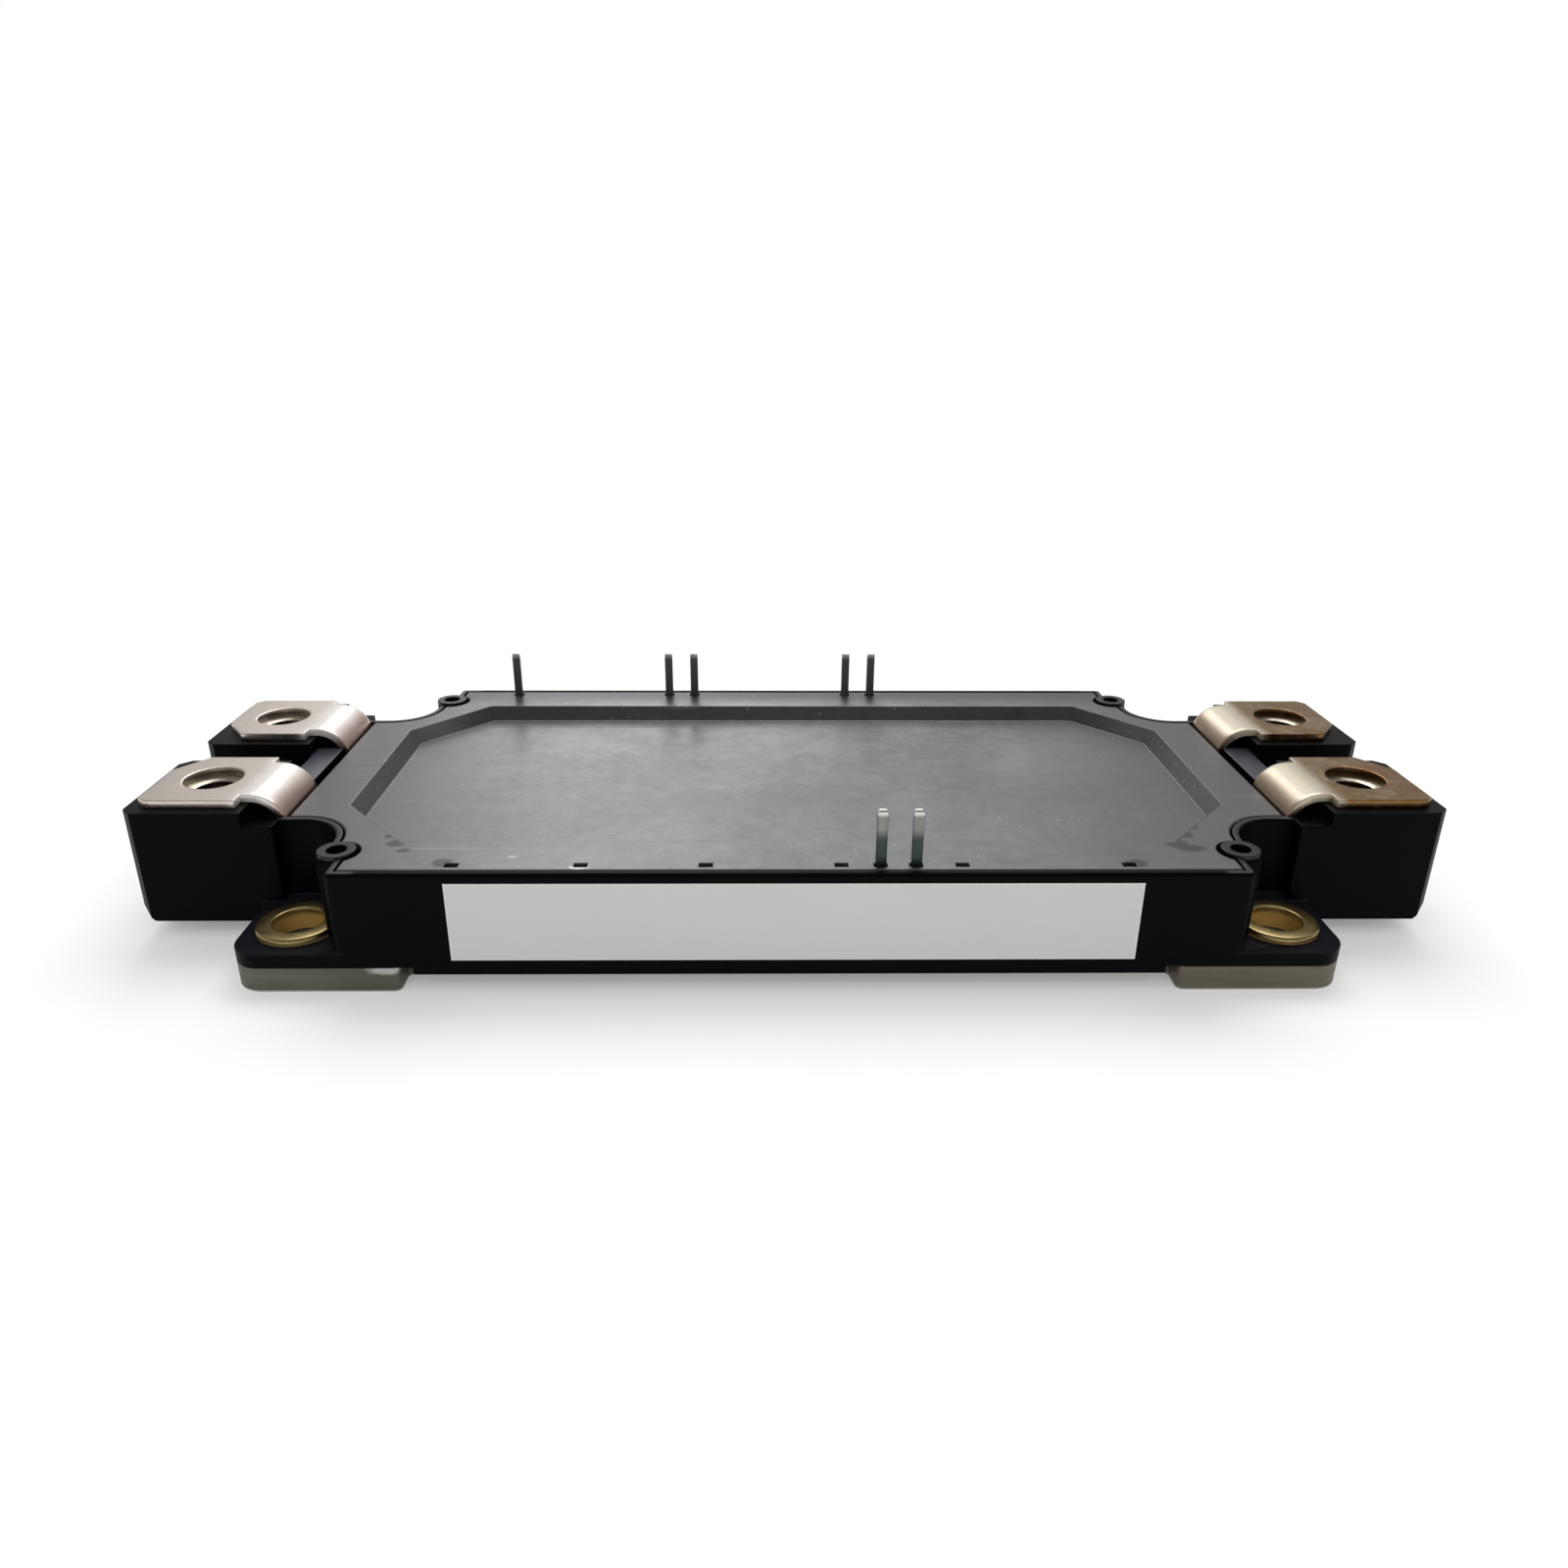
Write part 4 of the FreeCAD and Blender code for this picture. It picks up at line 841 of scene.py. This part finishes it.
def terminal_mesh(settings, node, screw_x, hole):
    """Folded strip with its pad and screw hole, drawn flat as a sheet and bent along its path."""
    low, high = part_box(node)
    side = 1 if low.x > 0 else -1
    middle = (low.y + high.y) / 2
    towards_middle = -1 if middle > 0 else 1
    near, far = sorted((abs(low.x), abs(high.x)))
    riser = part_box("lid")[1].x + STRIP_GAP + settings.thick / 2
    foot_level = low.z + settings.thick / 2
    pad_level = high.z - settings.thick / 2
    start = screw_x - settings.pad_before
    path = strip_path(settings, near, foot_level, riser, pad_level, start)
    outline = pad_outline(settings, start, far, (high.y - low.y) / 2, towards_middle)
    sheet = bmesh.new()
    uv = sheet.loops.layers.uv.new("UVMap")
    place = {}

    def vertex(x, y, z, run):
        made = sheet.verts.new((x * side, middle + y, z))
        place[made] = (run, y)
        return made

    def fill(corners):
        face = sheet.faces.new(corners)
        face.smooth = True
        for loop in face.loops:
            loop[uv].uv = place[loop.vert]

    neck = settings.neck / 2 + SAME_PLACE
    across = sorted(y for x, y in outline if abs(x - start) < SAME_PLACE and abs(y) <= neck)
    rows = [[vertex(x, y, z, run) for y in across] for run, x, z in path]
    for first, second in zip(rows, rows[1:]):
        for index in range(len(across) - 1):
            fill((first[index], first[index + 1], second[index + 1], second[index]))
    pad_run = path[-1][0] - start
    rings = []
    for outward in PAD_RINGS:
        ring = []
        for x, y in outline:
            turn = math.atan2(y, x - screw_x)
            inner = (screw_x + hole * math.cos(turn), hole * math.sin(turn))
            along, aside = (a + (b - a) * outward for a, b in zip(inner, (x, y)))
            ring.append(vertex(along, aside, pad_level, along + pad_run))
        rings.append(ring)
    count = len(outline)
    for first, second in zip(rings, rings[1:]):
        for index in range(count):
            beside = (index + 1) % count
            fill((first[index], first[beside], second[beside], second[index]))
    bmesh.ops.remove_doubles(sheet, verts=sheet.verts, dist=SAME_PLACE)
    bmesh.ops.recalc_face_normals(sheet, faces=sheet.faces)
    mesh = bpy.data.meshes.new(node + "_sheet")
    sheet.to_mesh(mesh)
    sheet.free()
    return baked(mesh, ("SOLIDIFY", {"thickness": settings.thick, "offset": 0.0, "use_even_offset": True}),
                 rounding(settings.edge, 2, STAMPED_ANGLE), EVEN_NORMALS)


# Stage

def seen_directly(graph):
    """1 for rays from the camera, a reflection or a glass, 0 for light on the object."""
    rays = graph.node("ShaderNodeLightPath").outputs
    kinds = ("Camera", "Glossy", "Transmission")
    return graph.clamped(sum(Term(graph, rays[f"Is {kind} Ray"]) for kind in kinds))


def floor_finish(settings):
    """Pale floor that keeps the shadow, goes to white away from it and can be seen through from below."""
    finish = Finish("pale_floor", Specular_IOR_Level=0.1, Emission_Strength=1.0, Roughness=0.9)
    grain = finish.noise(0.3)
    far = finish.between(finish.distance((0, 0, 0)), *FLOOR_WHITE)
    finish.paint(
        Base_Color=finish.vary(grain, settings.floor, 0.99, 1.01),
        Emission_Color=finish.tint(seen_directly(finish) * far, (0, 0, 0), (1, 1, 1)))
    clear = finish.node("ShaderNodeBsdfTransparent")
    below = finish.node("ShaderNodeNewGeometry").outputs["Backfacing"]
    mixed = finish.node("ShaderNodeMixShader", {}, {
        0: below, 1: finish.surface.outputs[0], 2: clear.outputs[0]})
    finish.feed(finish.output.inputs["Surface"], mixed.outputs[0])
    return finish.material


def light_sky(settings):
    """White where the camera sees it, bright behind and dim overhead in reflections, weaker as light."""
    world = bpy.data.worlds.new("white_room")
    world.use_nodes = True
    bpy.context.scene.world = world
    sky = Graph(world.node_tree)
    along, back, height = (sky.axis(name, "Generated") for name in "XYZ")
    bright = (sky.between(back, *SKY_BACK) * sky.band(height, SKY_TOP, SKY_LOW)
              * sky.between(abs(along - SKY_CENTRE), *SKY_SIDES))
    direct = Term(sky, sky.node("ShaderNodeLightPath").outputs["Is Camera Ray"])
    shown = sky.between(direct + bright, 0.0, 1.0, settings.dim, 1.0)
    light, seen = (sky.node("ShaderNodeBackground", {}, {"Color": (1, 1, 1), "Strength": strength})
                   for strength in (settings.fill, shown))
    mixed = sky.node("ShaderNodeMixShader", {}, {
        0: seen_directly(sky), 1: light.outputs[0], 2: seen.outputs[0]})
    sky.node("ShaderNodeOutputWorld", {}, {"Surface": mixed.outputs[0]})


def hang_lamp(name, watts, place, size, tone, mirrored):
    """A large soft lamp aimed at the module; the camera never sees it, and reflections only if mirrored."""
    data = bpy.data.lights.new(name, "AREA")
    data.shape = "RECTANGLE"
    data.size, data.size_y = size
    data.energy = watts
    data.color = tone
    lamp = bpy.data.objects.new(name, data)
    lamp.location = place
    lamp.rotation_euler = (-Vector(place)).to_track_quat("-Z", "Y").to_euler()
    lamp.visible_camera = False
    lamp.visible_glossy = mirrored
    bpy.context.scene.collection.objects.link(lamp)


def set_camera(settings):
    """The camera at the photograph's viewing angle."""
    data = bpy.data.cameras.new("camera")
    data.lens = settings.lens
    data.shift_x = settings.shift
    data.clip_start, data.clip_end = CAMERA_CLIP
    camera = bpy.data.objects.new("camera", data)
    pitch, yaw, roll = settings.pitch, settings.yaw, settings.roll
    ahead = Vector((math.sin(yaw) * math.cos(pitch), math.cos(yaw) * math.cos(pitch), -math.sin(pitch)))
    right = ahead.cross(Vector((0, 0, 1))).normalized()
    up = right.cross(ahead)
    leaned = right * math.cos(roll) + up * math.sin(roll)
    matrix = Matrix((leaned, up * math.cos(roll) - right * math.sin(roll), -ahead)).transposed().to_4x4()
    matrix.translation = settings.place
    camera.matrix_world = matrix
    bpy.context.scene.collection.objects.link(camera)
    bpy.context.scene.camera = camera


# Operators

class PieceOperator:
    """What the operators of this panel share."""

    bl_options = {"REGISTER", "UNDO"}

    def execute(self, context):
        self.make(context.scene)
        return {"FINISHED"}


class MODULE_OT_stage(PieceOperator, bpy.types.Operator):
    """Floor, sky, lamps and camera"""

    bl_idname = "power_module.stage"
    bl_label = "Stage"

    def make(self, scene):
        settings = scene.module_stage
        scene.view_settings.view_transform = "Standard"
        mesh = bpy.data.meshes.new("floor")
        mesh.from_pydata([(x * FLOOR_REACH, y * FLOOR_REACH, FLOOR_LEVEL)
                          for x, y in ((-1, -1), (1, -1), (1, 1), (-1, 1))], [], [(0, 1, 2, 3)])
        mesh.materials.append(floor_finish(settings))
        floor = bpy.data.objects.new("floor", mesh)
        scene.collection.objects.link(floor)
        light_sky(settings)
        for name, details in LAMPS.items():
            hang_lamp(name + "_lamp", getattr(settings, name), *details)
        set_camera(settings)


class MODULE_OT_mouldings(PieceOperator, bpy.types.Operator):
    """Case and lid with rounded edges"""

    bl_idname = "power_module.mouldings"
    bl_label = "Case and lid"

    def make(self, scene):
        settings = scene.module_moulding
        rounded_piece("moulded_case", "case_frame", settings.edge, "case_plastic", case_finish(settings))
        rounded_piece("moulded_lid", "lid", settings.edge, "lid_plastic", lid_finish(settings))


class MODULE_OT_plate(PieceOperator, bpy.types.Operator):
    """Base plate with rounded edges"""

    bl_idname = "power_module.plate"
    bl_label = "Base plate"

    def make(self, scene):
        settings = scene.module_plate
        rounded_piece("plated_base", "base_plate", settings.edge, "nickel_plate", plate_finish(settings), 3)


class MODULE_OT_bushings(PieceOperator, bpy.types.Operator):
    """Four turned bushings in the ears"""

    bl_idname = "power_module.bushings"
    bl_label = "Bushings"

    def make(self, scene):
        settings = scene.module_bushing
        low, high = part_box("mounting_bushings")
        bore = hole_pattern("mounting_holes")["hole_r_mm"] * MILLI
        step = high.z - settings.flange_thick
        outline = softened([
            (bore, low.z, 0), (settings.sleeve, low.z, SLEEVE_ROUNDING), (settings.sleeve, step, 0),
            (settings.flange, step, FLANGE_ROUNDING), (settings.flange, high.z, settings.rim),
            (bore, high.z, settings.mouth)])
        mesh = turned_mesh("bushing", outline, settings.steps)
        mesh = repeated(mesh, "mounting_holes", brass_finish(settings))
        link_piece("turned_bushings", mesh, "bushing_brass", "mounting_bushings")


class MODULE_OT_nuts(PieceOperator, bpy.types.Operator):
    """Four threaded nuts under the terminal pads"""

    bl_idname = "power_module.nuts"
    bl_label = "Nuts"

    def make(self, scene):
        settings = scene.module_nut
        low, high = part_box("terminal_nuts")
        half = settings.flats / 2
        face = half * NUT_FACE_SHARE
        corner = half / math.cos(math.pi / 6)
        outline = [(face, high.z), (corner, high.z - NUT_BEVEL), (corner, low.z + NUT_BEVEL), (face, low.z),
                   (settings.root + NUT_MOUTH_FLARE, low.z), (settings.bore, low.z + NUT_MOUTH)]
        level = low.z + NUT_MOUTH + settings.pitch / 2
        while level < high.z - NUT_MOUTH:
            for place, rise in GROOVE:
                outline.append((getattr(settings, place), level + settings.pitch * rise))
            level += settings.pitch
        while outline[-1][1] > high.z - NUT_MOUTH:
            outline.pop()
        outline.append((settings.root + NUT_BEVEL, high.z))

        def hexagon(radius, turn):
            off_flat = (turn + math.pi / 6) % (math.pi / 3) - math.pi / 6
            return min(radius, half / math.cos(math.pi / 6 - abs(off_flat)))

        mesh = turned_mesh("nut", outline, settings.steps, reach=hexagon)
        mesh = repeated(mesh, "terminal_screws", nut_finish(settings))
        link_piece("threaded_nuts", mesh, "nut_steel", "terminal_nuts")


class MODULE_OT_terminals(PieceOperator, bpy.types.Operator):
    """Four folded strips with their screw pads"""

    bl_idname = "power_module.terminals"
    bl_label = "Power terminals"

    def make(self, scene):
        settings = scene.module_terminal
        material = terminal_finish(settings)
        screws = hole_pattern("terminal_screws")
        for row in ("front", "back"):
            for end in ("left", "right"):
                node = f"power_terminal_{row}_{end}"
                mesh = terminal_mesh(settings, node, screws["spacing_x_mm"] * MILLI / 2,
                                     screws["hole_r_mm"] * MILLI)
                mesh.materials.append(material)
                link_piece(f"folded_strip_{row}_{end}", mesh, "terminal_plating", node)


class MODULE_OT_pins(PieceOperator, bpy.types.Operator):
    """Signal pins with rounded edges"""

    bl_idname = "power_module.pins"
    bl_label = "Signal pins"

    def make(self, scene):
        settings = scene.module_pin
        material = pin_finish(settings)
        for node in sorted(name for name in frame["nodes"] if name.startswith("signal_pin_")):
            name = node.replace("signal_pin", "tinned_pin")
            rounded_piece(name, node, settings.edge, "pin_plating", material)


class MODULE_OT_label(PieceOperator, bpy.types.Operator):
    """Blank label on the front wall"""

    bl_idname = "power_module.label"
    bl_label = "Label"

    def make(self, scene):
        settings = scene.module_label
        rounded_piece("blank_label", "label", settings.edge, "label_foil", label_finish(settings))


class MODULE_OT_inside(PieceOperator, bpy.types.Operator):
    """Finishes of the tiles, tracks, chips, wires and gel, and of the hidden solids"""

    bl_idname = "power_module.inside"
    bl_label = "Inside"

    def make(self, scene):
        finishes = {slot: plain_finish(*details) for slot, details in INNER.items()}
        for part in frame["record"]["subparts"]:
            slot = part["material_slot"]
            mesh = frame["nodes"][part["node"]].data
            mesh.materials.clear()
            mesh.materials.append(finishes.get(slot) or bpy.data.materials[COVERED[slot]])


class MODULE_PT_panel(bpy.types.Panel):
    """Buttons for the module's pieces, and the sizes and colours behind them"""

    bl_idname = "MODULE_PT_panel"
    bl_label = "Power Module"
    bl_space_type = "VIEW_3D"
    bl_region_type = "UI"
    bl_category = "Power Module"

    def draw(self, context):
        for operator in OPERATORS:
            self.layout.operator(operator.bl_idname)
        for name, group in SETTINGS.items():
            box = self.layout.box()
            for field in group.__annotations__:
                box.prop(getattr(context.scene, name), field)


SETTINGS = {"module_stage": StageSettings, "module_moulding": MouldingSettings,
            "module_plate": PlateSettings, "module_bushing": BushingSettings, "module_nut": NutSettings,
            "module_terminal": TerminalSettings, "module_pin": PinSettings, "module_label": LabelSettings}
OPERATORS = (MODULE_OT_stage, MODULE_OT_mouldings, MODULE_OT_plate, MODULE_OT_bushings, MODULE_OT_nuts,
             MODULE_OT_terminals, MODULE_OT_pins, MODULE_OT_label, MODULE_OT_inside)


def register():
    """The settings, operators and panel made known to Blender."""
    for group in SETTINGS.values():
        bpy.utils.register_class(group)
    for name, group in SETTINGS.items():
        setattr(bpy.types.Scene, name, PointerProperty(type=group))
    for kind in (*OPERATORS, MODULE_PT_panel):
        bpy.utils.register_class(kind)


def unregister():
    """The same taken back, in reverse."""
    for kind in reversed((*OPERATORS, MODULE_PT_panel)):
        bpy.utils.unregister_class(kind)
    for name in SETTINGS:
        delattr(bpy.types.Scene, name)
    for group in reversed(tuple(SETTINGS.values())):
        bpy.utils.unregister_class(group)


def main():
    """Every piece in order."""
    register()
    bpy.ops.power_module.stage()
    bpy.ops.power_module.mouldings()
    bpy.ops.power_module.plate()
    bpy.ops.power_module.bushings()
    bpy.ops.power_module.nuts()
    bpy.ops.power_module.terminals()
    bpy.ops.power_module.pins()
    bpy.ops.power_module.label()
    bpy.ops.power_module.inside()


if __name__ == "__main__":
    main()
